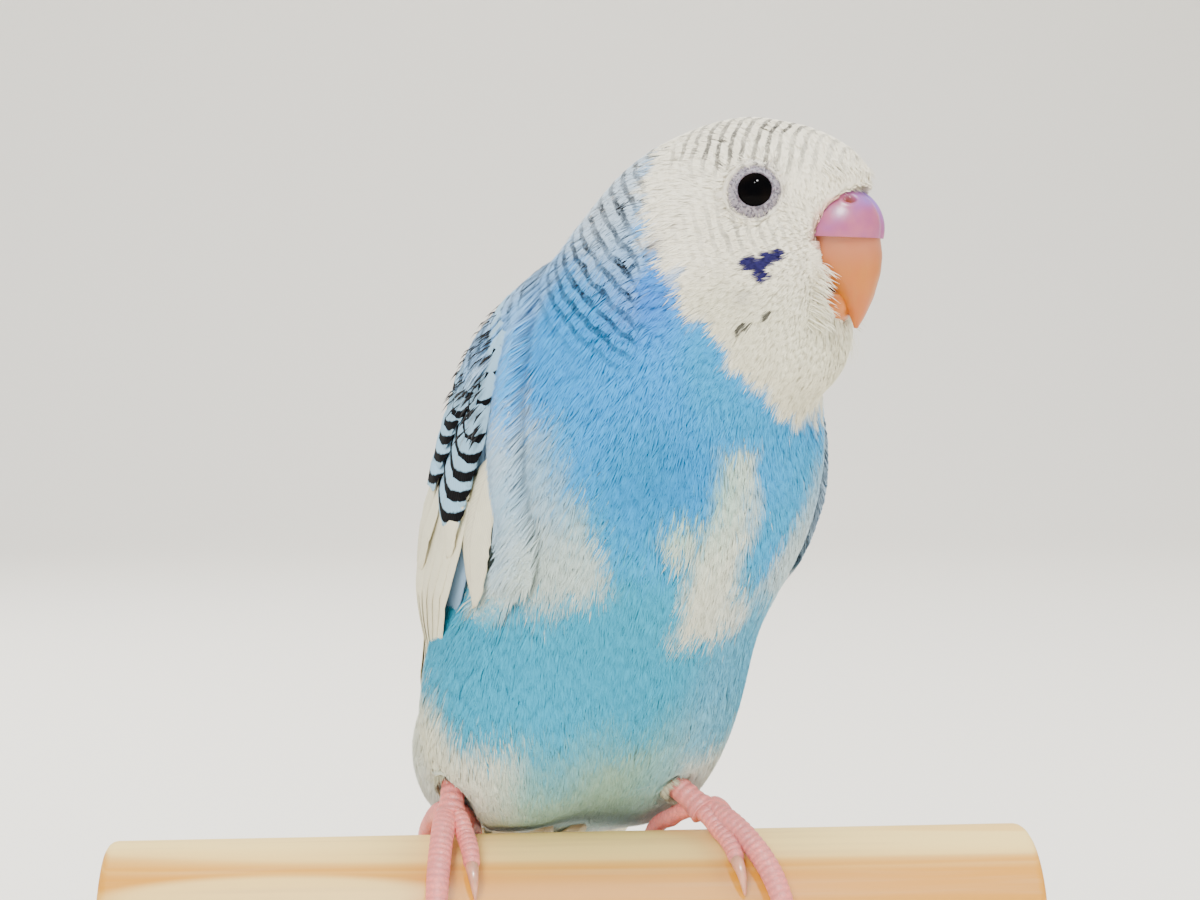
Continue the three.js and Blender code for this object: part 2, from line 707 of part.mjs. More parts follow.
function torso() {
  const feet = Object.values(FEET).map((one) => foot(one, GAP + 0.05));
  return trunk().subtract(joined([perchRoom(), ...feet]));
}

function neck() {
  return stretch(NECK_CUT, HEAD_CUT, NECK_RINGS, TRUNK_SIDES);
}

function head() {
  const bare = stretch(HEAD_CUT, CROWN_END, HEAD_RINGS, TRUNK_SIDES, { rounded: true });
  const rooms = [eye(1, GAP), eye(-1, GAP), cere(GAP), upperBill(GAP), lowerBill(GAP)];
  return joined([bare, lid(1), lid(-1)]).subtract(joined(rooms));
}

// Stand and perch
function perch() {
  const half = PERCH_LENGTH / 2;
  const outline = [
    [0, -half],
    [PERCH_RADIUS - PERCH_CHAMFER, -half],
    [PERCH_RADIUS, -half + PERCH_CHAMFER],
    [PERCH_RADIUS, half - PERCH_CHAMFER],
    [PERCH_RADIUS - PERCH_CHAMFER, half],
    [0, half],
  ].map(([x, y]) => new THREE.Vector2(x, y));
  return solid(
    new THREE.LatheGeometry(outline, 40).rotateZ(-Math.PI / 2).translate(0, 0, PERCH_AXIS_Z),
  );
}

function base() {
  const { x, y, z, corner, bevel } = BASE_SIZE;
  const outline = new THREE.Shape();
  const [right, back] = [x / 2 - corner, y / 2 - corner];
  outline.absarc(right, back, corner, 0, Math.PI / 2);
  outline.absarc(-right, back, corner, Math.PI / 2, Math.PI);
  outline.absarc(-right, -back, corner, Math.PI, 1.5 * Math.PI);
  outline.absarc(right, -back, corner, 1.5 * Math.PI, 2 * Math.PI);
  const slab = new THREE.ExtrudeGeometry(outline, {
    depth: z - 2 * bevel,
    bevelThickness: bevel,
    bevelSize: bevel,
    bevelOffset: -bevel,
    bevelSegments: 1,
    curveSegments: 4,
  });
  return solid(slab.translate(0, BASE_SHIFT_Y, bevel));
}

function rod(x) {
  const height = PERCH_AXIS_Z - BASE_SIZE.z - GAP;
  const whole = new THREE.CylinderGeometry(ROD_RADIUS, ROD_RADIUS, height, 16)
    .rotateX(Math.PI / 2)
    .translate(x, 0, BASE_SIZE.z + GAP + height / 2);
  const around = new THREE.CylinderGeometry(PERCH_RADIUS + GAP, PERCH_RADIUS + GAP, 20, 64)
    .rotateZ(Math.PI / 2)
    .translate(x, 0, PERCH_AXIS_Z);
  return largest(solid(whole).subtract(solid(around)));
}

// Colours and finishes
const FINISHES = {
  blue: { color: 0x7db8e0, roughness: 0.85, metalness: 0 },
  white: { color: 0xeceae6, roughness: 0.85, metalness: 0 },
  cream: { color: 0xe9e4d4, roughness: 0.8, metalness: 0 },
  skin: { color: 0xdfa3a8, roughness: 0.6, metalness: 0 },
  claw: { color: 0xe6d2c4, roughness: 0.4, metalness: 0 },
  cere: { color: 0xc9b3cf, roughness: 0.5, metalness: 0 },
  bill: { color: 0xe2b49a, roughness: 0.35, metalness: 0 },
  eye: { color: 0x0b0c0f, roughness: 0.05, metalness: 0 },
  wood: { color: 0xe3bd8b, roughness: 0.6, metalness: 0 },
  metal: { color: 0xc9c9cc, roughness: 0.35, metalness: 0.9 },
};

const part = new THREE.Group();

function add(name, made, finish) {
  const mesh = new THREE.Mesh(geometryOf(largest(made)), new THREE.MeshStandardMaterial(FINISHES[finish]));
  mesh.name = name;
  part.add(mesh);
}

const trunkRoom = trunk({ grow: GAP });

add("torso", torso(), "blue");
add("neck", neck(), "blue");
add("head", head(), "white");
add("wing_right", wing(1), "cream");
add("wing_left", wing(-1), "cream");
add("tail", tail(), "cream");
add("leg_right", leg(1, FEET.right), "white");
add("leg_left", leg(-1, FEET.left), "white");
for (const [side, one] of Object.entries(FEET)) {
  add(`foot_${side}`, foot(one), "skin");
  for (const [number, each] of Object.entries(one.toes)) add(`claw_${side}_${number}`, claw(each), "claw");
}
add("eye_right", eye(1), "eye");
add("eye_left", eye(-1), "eye");
add("cere", cere().subtract(nostril(1)).subtract(nostril(-1)), "cere");
add("bill_upper", upperBill(), "bill");
add("bill_lower", lowerBill().subtract(upperBill(GAP)).subtract(cere(GAP)), "bill");
add("perch", perch(), "wood");
add("stand_base", base(), "wood");
add("stand_rod_right", rod(-ROD_SPACING / 2), "metal");
add("stand_rod_left", rod(ROD_SPACING / 2), "metal");

export default part;
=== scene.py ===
"""A life-size budgerigar on a dowel perch: skin, plumage, bill, feet, perch, display stand and studio."""

import math

import bpy
import numpy as np
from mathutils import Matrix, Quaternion, Vector, noise
from mathutils.bvhtree import BVHTree


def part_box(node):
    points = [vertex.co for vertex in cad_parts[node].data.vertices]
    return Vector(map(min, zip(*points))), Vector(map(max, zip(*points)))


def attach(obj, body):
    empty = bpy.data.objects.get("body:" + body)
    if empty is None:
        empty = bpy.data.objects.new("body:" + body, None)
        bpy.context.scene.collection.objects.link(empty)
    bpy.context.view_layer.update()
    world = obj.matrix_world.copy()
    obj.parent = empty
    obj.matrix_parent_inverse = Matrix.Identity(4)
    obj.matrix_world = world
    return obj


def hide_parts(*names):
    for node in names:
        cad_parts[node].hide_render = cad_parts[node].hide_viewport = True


bl_info = {
    "name": "Budgerigar on a perch",
    "version": (1, 0, 0),
    "blender": (4, 5, 0),
    "location": "View3D > Sidebar > Budgerigar",
    "description": "Builds the skin, plumage, bill, feet, perch and stand of a life-size budgerigar",
    "category": "Object",
}

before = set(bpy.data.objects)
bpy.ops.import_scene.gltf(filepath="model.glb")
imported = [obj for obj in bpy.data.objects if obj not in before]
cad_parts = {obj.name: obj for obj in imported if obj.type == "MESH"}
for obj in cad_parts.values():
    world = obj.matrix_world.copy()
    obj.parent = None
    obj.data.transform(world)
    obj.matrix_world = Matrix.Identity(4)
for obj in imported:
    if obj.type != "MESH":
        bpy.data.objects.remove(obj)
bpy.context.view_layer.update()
MM = 0.001
UP = Vector((0, 0, 1))


# Places and sizes shared with the solids, in millimetres and degrees
PERCH_RADIUS = 11
PERCH_LENGTH = 115
PERCH_AXIS_Z = 82
PERCH_TOP = np.array((0, 0, PERCH_AXIS_Z + PERCH_RADIUS))
GAP = 0.3


def body_frame(origin, yaw, lean):
    """Origin above the perch's top, and axes to the bird's right, front and crown."""
    turn = math.radians(yaw)
    front = Vector((math.sin(turn), -math.cos(turn), 0))
    right = front.cross(UP)
    front.rotate(Quaternion(right, math.radians(-lean)))
    return np.array(origin) + PERCH_TOP, np.array((right, front, right.cross(front)))


TRUNK = body_frame((0, 17, 4), 20.5, 26)
NECK = body_frame((12.5, -11.5, 64), 42, 26)
HEAD = body_frame((19.45, -20.4, 76.6), 62.5, 2)

# The body under the folded wings is a soft union of ellipsoids: frame, centre, radii.
BODY_BLEND = 7
WING_BED = [
    (TRUNK, (0.2, 0, 37), (20.9, 20.5, 40)),
    (TRUNK, (-1.4, 3.5, 50), (20.4, 18.5, 22)),
    (TRUNK, (0, -7, 55), (16, 15, 17)),
    (TRUNK, (0, -6, 2), (15.5, 11, 23)),
    (TRUNK, (0, -7, -20), (9, 4.6, 28)),
    (NECK, (0, 0, 0), (16, 15, 15)),
    (HEAD, (0, -0.6, 0), (10.7, 10.2, 10.9)),
    (HEAD, (0, -7, -4.2), (10, 9.6, 10.8)),
]


def into(place, points):
    return (points - place[0]) @ place[1].T


def out_of(place, local):
    return place[0] + np.asarray(local, float) @ place[1]


def smooth(value, low, high):
    share = np.clip((value - low) / (high - low), 0, 1)
    return share * share * (3 - 2 * share)


def blend(low, high, share):
    return low + (high - low) * share


def hill(value, width):
    return np.exp(-np.square(value / width))


def unit(vectors):
    return vectors / np.maximum(np.linalg.norm(vectors, axis=-1, keepdims=True), 1e-9)


def wobble(points, size, seed=0):
    """Smooth noise from -1 to 1 whose lumps are about size across."""
    shift = Vector((seed * 17.3, seed * 5.1, seed * 9.7))
    return np.array([noise.noise(Vector(point) / size + shift) for point in points]) * 1.6


def bed_distance(points):
    """Millimetres from the body under the wings, negative inside it."""
    least = np.full(points.shape[:-1], 1e3)
    for place, centre, radii in WING_BED:
        local = into(place, points) - np.array(centre)
        near = np.linalg.norm(local / radii, axis=-1)
        far = np.linalg.norm(local / np.square(radii), axis=-1)
        gap = near * (near - 1) / np.maximum(far, 1e-9)
        share = np.maximum(BODY_BLEND - np.abs(least - gap), 0) / BODY_BLEND
        least = np.minimum(least, gap) - share * share * BODY_BLEND / 4
    return least


# A place on a wing is a level along the trunk's axis and an angle around it from the breast.
LEFT_TUCK = 10
TUCK_END = 130


def on_bed(side, level, angle, height):
    """Places at a height over the body, and how far from its axis the body reaches there."""
    level, angle, height = np.broadcast_arrays(level, angle, height)
    depth = blend(-7, -1, smooth(level, -14, 14))
    centre = out_of(TRUNK, np.stack((0 * level, depth, level), -1))
    if side < 0:
        angle = angle + LEFT_TUCK * np.maximum(0, (TUCK_END - angle) / TUCK_END)
    turn = np.radians(angle)
    ray = np.stack((side * np.sin(turn), np.cos(turn), 0 * turn), -1) @ TRUNK[1]
    inside, outside = np.zeros(level.shape), np.full(level.shape, 60.0)
    for _ in range(22):
        middle = (inside + outside) / 2
        within = bed_distance(centre + ray * middle[..., None]) < 0
        inside, outside = np.where(within, middle, inside), np.where(within, outside, middle)
    return centre + ray * (inside + height)[..., None], inside


def linear(red, green, blue):
    """A named screen colour as the linear values that materials take."""
    return tuple(round((c / 255 / 12.92) if c <= 10 else ((c / 255 + 0.055) / 1.055) ** 2.4, 4)
                 for c in (red, green, blue))


def colour(name, description, default):
    return bpy.props.FloatVectorProperty(
        name=name, description=description, subtype="COLOR", size=3, min=0, max=1, default=linear(*default))


def length(name, description, millimetres):
    return bpy.props.FloatProperty(
        name=name, description=description, subtype="DISTANCE", unit="LENGTH", default=millimetres * MM)


class PlumageSettings(bpy.types.PropertyGroup):
    depth: length("Coat depth", "How far the skin lies inside the plumage's outline", 0.9)
    body_length: length("Body feather", "Length of a breast feather", 6.2)
    face_length: length("Face feather", "Length of a feather beside the bill", 1.5)
    sky: colour("Sky blue", "Upper breast", (26, 149, 219))
    teal: colour("Teal", "Flanks and lower breast", (30, 147, 179))
    belly: colour("Belly", "Greyer green blue between the legs", (138, 170, 146))
    violet: colour("Violet blue", "Blue under the cheek", (58, 118, 206))
    cream: colour("Cream", "Pied patches of the breast and thighs", (214, 209, 182))
    white: colour("White", "Face and crown", (238, 231, 209))
    nape: colour("Nape", "Pale ground between the bars", (146, 182, 214))
    bars: colour("Bars", "Bars and crescents", (5, 5, 8))
    cheek: colour("Cheek patch", "Violet patches beside the throat", (30, 24, 78))
    orbit: colour("Round the eye", "Grey lilac feathers round the eye", (150, 140, 150))
    lore: colour("Beside the cere", "Reddish down beside the cere", (196, 120, 104))


class HeadSettings(bpy.types.PropertyGroup):
    cere: colour("Cere", "Lilac pink skin over the bill", (148, 66, 112))
    bill: colour("Bill", "Peach orange horn", (172, 88, 4))
    eye: colour("Eye", "Dark iris and pupil", (3, 3, 4))
    ring: colour("Eye ring", "Bare skin round the eye", (108, 98, 108))


class LegSettings(bpy.types.PropertyGroup):
    skin: colour("Foot skin", "Pink scaled skin", (234, 133, 123))
    claw: colour("Claws", "Pale horn", (206, 144, 116))
    scute: length("Scute", "Length of one scute along a toe", 0.85)


class StandSettings(bpy.types.PropertyGroup):
    pale_wood: colour("Pale wood", "Early wood of the dowel", (232, 200, 122))
    dark_wood: colour("Dark wood", "Late wood of the dowel", (200, 134, 20))
    base: colour("Base", "Painted display base", (226, 223, 216))
    rod: colour("Rods", "Brushed steel", (196, 197, 200))


class StudioSettings(bpy.types.PropertyGroup):
    lens: bpy.props.FloatProperty(name="Lens", description="Focal length on a 36 mm wide sensor",
                                  default=62.4, min=20, max=200)
    azimuth: bpy.props.FloatProperty(name="Azimuth", description="Camera's turn about the perch",
                                     subtype="ANGLE", default=math.radians(-4.5))
    pitch: bpy.props.FloatProperty(name="Pitch", description="How far the camera looks down",
                                   subtype="ANGLE", default=math.radians(4))
    backdrop: colour("Backdrop", "Pale floor and wall", (244, 239, 228))


# Meshes from arrays
class Pile:
    """Collects many closed pieces as points, faces and values, and makes one mesh of them."""

    def __init__(self):
        self.points, self.loops, self.sizes, self.values = [], [], [], {}
        self.count = 0

    def add(self, points, faces, **values):
        """points (n, k, 3) are n copies with k points each; faces are lists of indices into the k."""
        copies, each = points.shape[:2]
        starts = self.count + np.arange(copies) * each
        flat = np.array([i for face in faces for i in face])
        self.loops.append((starts[:, None] + flat).ravel())
        self.sizes.append(np.tile([len(face) for face in faces], copies))
        self.points.append(points.reshape(-1, 3))
        for name, value in values.items():
            value = np.asarray(value, float)
            self.values.setdefault(name, []).append(value.reshape(copies * each, -1))
        self.count += copies * each

    def build(self, name, maps=("OFBake",)):
        points, loops = np.concatenate(self.points), np.concatenate(self.loops)
        sizes = np.concatenate(self.sizes)
        mesh = bpy.data.meshes.new(name)
        mesh.vertices.add(len(points))
        mesh.vertices.foreach_set("co", (points * MM).astype(np.float32).ravel())
        mesh.loops.add(len(loops))
        mesh.loops.foreach_set("vertex_index", loops.astype(np.int32))
        mesh.polygons.add(len(sizes))
        mesh.polygons.foreach_set("loop_start", (np.cumsum(sizes) - sizes).astype(np.int32))
        for key, parts in self.values.items():
            data = np.concatenate(parts)
            if key in maps:
                layer = mesh.uv_layers.new(name=key)
                layer.data.foreach_set("uv", data[loops].astype(np.float32).ravel())
            elif data.shape[1] == 3:
                layer = mesh.color_attributes.new(key, "FLOAT_COLOR", "POINT")
                layer.data.foreach_set("color", np.c_[data, np.ones(len(data))].astype(np.float32).ravel())
            else:
                layer = mesh.attributes.new(key, "FLOAT", "POINT")
                layer.data.foreach_set("value", data.astype(np.float32).ravel())
        mesh.update(calc_edges=True)
        mesh.validate()
        mesh.shade_smooth()
        piece = bpy.data.objects.new(name, mesh)
        bpy.context.scene.collection.objects.link(piece)
        return piece


def plate_faces(rows, columns):
    """Faces of a closed plate whose upper grid comes first and its lower grid second."""
    lower = rows * columns
    faces = []
    for i in range(rows - 1):
        for j in range(columns - 1):
            a, b = i * columns + j, (i + 1) * columns + j
            faces.append((a, b, b + 1, a + 1))
            faces.append((lower + a, lower + a + 1, lower + b + 1, lower + b))
        a, b = i * columns, (i + 1) * columns
        faces.append((a, lower + a, lower + b, b))
        a, b = a + columns - 1, b + columns - 1
        faces.append((a, b, lower + b, lower + a))
    for j in range(columns - 1):
        faces.append((j, j + 1, lower + j + 1, lower + j))
        a = (rows - 1) * columns + j
        faces.append((a, lower + a, lower + a + 1, a + 1))
    return faces


def tube_faces(rings, sides):
    faces = [tuple(reversed(range(sides))), tuple((rings - 1) * sides + k for k in range(sides))]
    for i in range(rings - 1):
        for k in range(sides):
            a, b = i * sides + k, i * sides + (k + 1) % sides
            faces.append((a, b, b + sides, a + sides))
    return faces


def deselect():
    bpy.ops.object.select_all(action="DESELECT")


def only(piece):
    deselect()
    piece.select_set(True)
    bpy.context.view_layer.objects.active = piece


def modify(piece, kind, **values):
    modifier = piece.modifiers.new(kind.title(), kind)
    for name, value in values.items():
        setattr(modifier, name, value)
    only(piece)
    bpy.ops.object.modifier_apply(modifier=modifier.name)


def edit(piece, *steps):
    """Runs mesh operators, each with its values, on the whole of a piece."""
    only(piece)
    bpy.ops.object.mode_set(mode="EDIT")
    for step, values in steps:
        bpy.ops.mesh.select_all(action="SELECT")
        step(**values)
    bpy.ops.object.mode_set(mode="OBJECT")


def outward():
    return bpy.ops.mesh.normals_make_consistent, {"inside": False}


def gather(items, key, width, kind=float):
    """One value of every item of a mesh, as rows of the width."""
    values = np.zeros(len(items) * width, kind)
    items.foreach_get(key, values)
    return values.reshape(-1, width)


def places(piece):
    return gather(piece.data.vertices, "co", 3)


def sphere(segments, rings):
    """A new unit sphere."""
    deselect()
    bpy.ops.mesh.primitive_uv_sphere_add(segments=segments, ring_count=rings, radius=1)
    return bpy.context.view_layer.objects.active


def reshape(piece, points):
    """Moves a piece's vertices to points in millimetres."""
    piece.data.vertices.foreach_set("co", (points * MM).ravel())
    piece.data.update()


def title(piece, name):
    piece.name = piece.data.name = name


def shade(piece, degrees=None):
    """Shades a piece smoothly, where an angle is given only up to it."""
    only(piece)
    if degrees:
        bpy.ops.object.shade_smooth_by_angle(angle=math.radians(degrees))
    else:
        bpy.ops.object.shade_smooth()


def settle(piece, slot, *nodes, material=None):
    """Gives a finished piece its body, hides the solids' nodes it stands for and gives it its material; slot is not
    used.
    """
    if material:
        piece.data.materials.clear()
        piece.data.materials.append(material)
    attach(piece, "root")
    if nodes:
        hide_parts(*nodes)


# Materials
class Finish:
    """A material whose nodes are added one at a time."""

    def __init__(self, name, **sockets):
        self.material = bpy.data.materials.new(name)
        self.material.use_nodes = True
        self.tree = self.material.node_tree
        self.shader = self.tree.nodes["Principled BSDF"]
        for socket, value in sockets.items():
            self.shader.inputs[socket.replace("_", " ")].default_value = value

    def node(self, kind, settings=None, **inputs):
        made = self.tree.nodes.new("ShaderNode" + kind)
        for key, value in (settings or {}).items():
            setattr(made, key, value)
        for key, value in inputs.items():
            socket = made.inputs[int(key[1:])] if key[0] == "_" else made.inputs[key]
            if hasattr(value, "links"):
                self.tree.links.new(value, socket)
            else:
                socket.default_value = value
        return made

    def math(self, operation, *values, clamp=False):
        inputs = {f"_{i}": value for i, value in enumerate(values)}
        return self.node("Math", {"operation": operation, "use_clamp": clamp}, **inputs).outputs[0]

    def plus(self, *values, clamp=False):
        return self.math("ADD", *values, clamp=clamp)

    def minus(self, *values, clamp=False):
        return self.math("SUBTRACT", *values, clamp=clamp)

    def times(self, *values, clamp=False):
        return self.math("MULTIPLY", *values, clamp=clamp)

    def wave(self, turns):
        """A sine that repeats after each whole turn."""
        return self.math("SINE", self.times(turns, 2 * math.pi))

    def mix(self, share, low, high, mode="MIX"):
        made = self.node("Mix", {"data_type": "RGBA", "blend_type": mode}, _0=share)
        for socket, value in ((made.inputs[6], low), (made.inputs[7], high)):
            if hasattr(value, "links"):
                self.tree.links.new(value, socket)
            else:
                socket.default_value = (*value, 1) if len(value) == 3 else value
        return made.outputs[2]

    def step(self, value, low, high):
        return self.node("MapRange", {"interpolation_type": "SMOOTHSTEP"}, _0=value, _1=low, _2=high).outputs[0]

    def place(self):
        return self.node("TexCoord").outputs["Object"]

    def stretched(self, *scale):
        return self.node("Mapping", Vector=self.place(), Scale=scale).outputs[0]

    def noise(self, scale, detail=3, vector=None):
        inputs = {"Scale": scale, "Detail": detail, "Vector": vector or self.place()}
        return self.node("TexNoise", **inputs).outputs["Fac"]

    def attribute(self, name, output="Fac"):
        return self.node("Attribute", {"attribute_name": name}).outputs[output]

    def bump(self, height, strength, distance):
        made = self.node("Bump", Height=height, Strength=strength, Distance=distance * MM)
        self.tree.links.new(made.outputs[0], self.shader.inputs["Normal"])

    def paint(self, value, socket="Base Color"):
        self.tree.links.new(value, self.shader.inputs[socket])


def plumage_finish():
    """Tint and bars ride on the feathers as attributes; the bars' edges are drawn here."""
    if "plumage" in bpy.data.materials:
        return bpy.data.materials["plumage"]
    look = bpy.context.scene.plumage
    finish = Finish("plumage", Roughness=0.75, Sheen_Weight=0.1, Sheen_Roughness=0.5,
                    Specular_IOR_Level=0.15)
    ripple = finish.times(finish.noise(420, 2), 0.55)
    wave = finish.wave(finish.plus(finish.attribute("phase"), ripple))
    bar = finish.times(finish.step(wave, 0.0, 0.7), finish.attribute("barred"), clamp=True)
    broken = finish.plus(finish.times(finish.step(finish.noise(2400, 2), 0.36, 0.52), 0.45), 0.55)
    bar = finish.times(bar, broken)
    mottle = finish.mix(0.22, finish.attribute("tint", "Color"),
                        finish.mix(finish.noise(900, 4), (0.7, 0.7, 0.7), (1.3, 1.3, 1.3)), "MULTIPLY")
    finish.paint(finish.mix(bar, mottle, tuple(look.bars)))
    return finish.material


def vane_finish():
    """Wing and tail feathers: barbs run from the shaft, and a dark crescent lies before the tip."""
    if "vanes" in bpy.data.materials:
        return bpy.data.materials["vanes"]
    look = bpy.context.scene.plumage
    finish = Finish("vanes", Roughness=0.8, Specular_IOR_Level=0.08)
    where = finish.node("UVMap", {"uv_map": "Vane"}).outputs[0]
    split = finish.node("SeparateXYZ", Vector=where)
    across = finish.math("ABSOLUTE", finish.minus(split.outputs[0], 0.5))
    along = split.outputs[1]
    ragged = finish.times(finish.minus(finish.noise(1400, 3), 0.5), 0.08)
    arc = finish.plus(finish.plus(along, ragged), finish.times(finish.times(across, across), 1.1))
    crescent = finish.times(finish.step(arc, 0.7, 0.74), finish.minus(1, finish.step(arc, 0.91, 0.95)))
    dark = finish.times(crescent, finish.attribute("barred"), clamp=True)
    shaft = finish.minus(1, finish.step(across, 0.012, 0.03))
    barb = finish.wave(finish.plus(finish.times(along, finish.attribute("barbs")), finish.times(across, -14)))
    tint = finish.mix(0.3, finish.attribute("tint", "Color"),
                      finish.mix(finish.noise(700, 4), (0.7, 0.7, 0.7), (1.25, 1.25, 1.25)), "MULTIPLY")
    lines = finish.mix(finish.times(finish.step(barb, 0.2, 1), 0.16), tint, (0.2, 0.2, 0.22))
    quill = finish.mix(finish.times(shaft, 0.22), lines, (0.32, 0.27, 0.2))
    finish.paint(finish.mix(dark, quill, tuple(look.bars)))
    finish.bump(finish.plus(barb, finish.times(shaft, 4)), 0.35, 0.03)
    return finish.material


# The skin
VOXEL = 0.65
CLOSE_GAP = 0.25
FACE_DEPTH = 0.5
# Painted shade: the skin's tint is darkened, standing for the shade in the gaps between the feathers over it.
SKIN_PAINTED_SHADE = 0.9
TAIL_ROOT = WING_BED[4]
BILL_BASE = out_of(HEAD, (0, 8, -3.5))


def copy_node(name):
    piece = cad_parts[name].copy()
    piece.data = piece.data.copy()
    piece.name = "copy_of_" + name
    piece.parent = None
    for key in list(piece.keys()):
        del piece[key]
    bpy.context.scene.collection.objects.link(piece)
    edit(piece, (bpy.ops.mesh.remove_doubles, {"threshold": 0.01 * MM}))
    return piece


def join(pieces):
    """Joins pieces into the first of them."""
    deselect()
    for piece in pieces:
        piece.select_set(True)
    bpy.context.view_layer.objects.active = pieces[0]
    bpy.ops.object.join()
    return pieces[0]


def skin_tree():
    """The skin's faces as a tree, with each face's place, normal, area and middle of its OFBake patch."""
    mesh = bpy.data.objects["skin"].data
    points = gather(mesh.vertices, "co", 3) / MM
    normals = gather(mesh.vertices, "normal", 3)
    corners = gather(mesh.loops, "vertex_index", 1, int).reshape(-1, 4)
    maps = gather(mesh.uv_layers["OFBake"].data, "uv", 2)
    areas = gather(mesh.polygons, "area", 1).ravel()
    tree = BVHTree.FromPolygons(points.tolist(), corners.tolist())
    return {"tree": tree, "corners": points[corners], "areas": areas / MM ** 2,
            "normals": unit(normals[corners].mean(1)), "maps": maps.reshape(-1, 4, 2).mean(1)}


class BUDGIE_OT_skin(bpy.types.Operator):
    """Make one smooth skin inside the plumage's outline, in place of the body's solids"""
    bl_idname = "budgie.skin"
    bl_label = "Skin"

    def execute(self, context):
        look = context.scene.plumage
        flesh = ("torso", "neck", "head", "leg_right", "leg_left")
        skin = join([copy_node(name) for name in flesh])
        modify(skin, "DISPLACE", strength=CLOSE_GAP * MM, mid_level=0)
        place, centre, radii = TAIL_ROOT
        root = sphere(48, 32)
        reshape(root, out_of(place, places(root) * radii + centre))
        skin = join([skin, root])
        modify(skin, "REMESH", mode="VOXEL", voxel_size=VOXEL * MM)
        modify(skin, "SMOOTH", factor=0.5, iterations=9)
        points = places(skin) / MM
        shares = blend(FACE_DEPTH, 1, smooth(np.linalg.norm(points - BILL_BASE, axis=1), 6, 20))
        shares = shares * (1 - 0.6 * ruff(points))
        group = skin.vertex_groups.new(name="coat depth")
        for index, share in enumerate(shares.tolist()):
            group.add([index], share, "REPLACE")
        modify(skin, "DISPLACE", strength=-CLOSE_GAP * MM - look.depth, mid_level=0, vertex_group="coat depth")
        skin.vertex_groups.clear()
        modify(skin, "SMOOTH", factor=0.5, iterations=2)
        title(skin, "skin")
        edit(skin, outward(), (bpy.ops.uv.smart_project, {"angle_limit": math.radians(60), "island_margin": 0.002}))
        while len(skin.data.uv_layers) > 1:
            skin.data.uv_layers.remove(skin.data.uv_layers[0])
        skin.data.uv_layers[0].name = "OFBake"
        tint, barred, phase = markings(places(skin) / MM)
        for name, data in (("barred", barred), ("phase", phase)):
            layer = skin.data.attributes.new(name, "FLOAT", "POINT")
            layer.data.foreach_set("value", data.astype(np.float32))
        layer = skin.data.color_attributes.new("tint", "FLOAT_COLOR", "POINT")
        # The skin's colour carries painted shade: its tint is darkened as the shade in the gaps between the feathers.
        layer.data.foreach_set("color", np.c_[tint * SKIN_PAINTED_SHADE, np.ones(len(tint))].astype(np.float32).ravel())
        shade(skin)
        settle(skin, "plumage_blue", *flesh, material=plumage_finish())
        return {"FINISHED"}


# Markings, by place on the head and the trunk
CERE_CENTRE = np.array((0, 9.7, -1.95))
CERE_RADII = np.array((5.7, 4.95, 4.85))
CHEEK_SPOTS = ((3.0, -6.1, 0.95), (3.9, -6.6, 1.0), (4.7, -5.6, 0.9), (5.7, -5.1, 0.75), (4.2, -7.5, 0.7))
CERE_MIDDLE = out_of(HEAD, (0, 10, 1))
NAPE_MIDDLE = out_of(HEAD, (0, 0, 3))
RUFF = (0, -11.5, -4.5), (14, 7.5, 10.5)
RUFF_RISE = 2
BAR_PITCH = 0.68
BAR_GROWTH = 0.025
# The side patches' upper and lower edges, as angles and levels, and the pale edge before the wing
PATCH_TOP = (26, 35, 50, 80, 100), (43, 48.5, 55.5, 60, 62)
PATCH_BOTTOM = (26, 31, 45, 70, 100), (42, 40.5, 37, 33.5, 31)
WING_FRONT = (45, 50, 60, 66), (58, 63, 82, 93)
# How many millimetres a degree round the breast takes up
DEGREE = 0.38
# Spots beside the throat as place, size and strength, and small dark flecks
THROAT_SPOTS = ((11.8, -7.4, -4.5), 0.9, 0.7), ((10.3, 2.5, -9.9), 0.9, 0.35)
FLECKS = (9.7, 2.4, -12.9), (9.5, 4.6, -11.6), (9.9, 1.6, -13.4), (-9.6, 3.2, -12.2)


def ruff(points):
    """Where the back of the head stands fuller, from 0 to 1."""
    middle, radii = RUFF
    local = into(HEAD, points)
    return hill(np.linalg.norm((local - middle) / radii, axis=1), 1) * smooth(-local[:, 1], 0, 5)


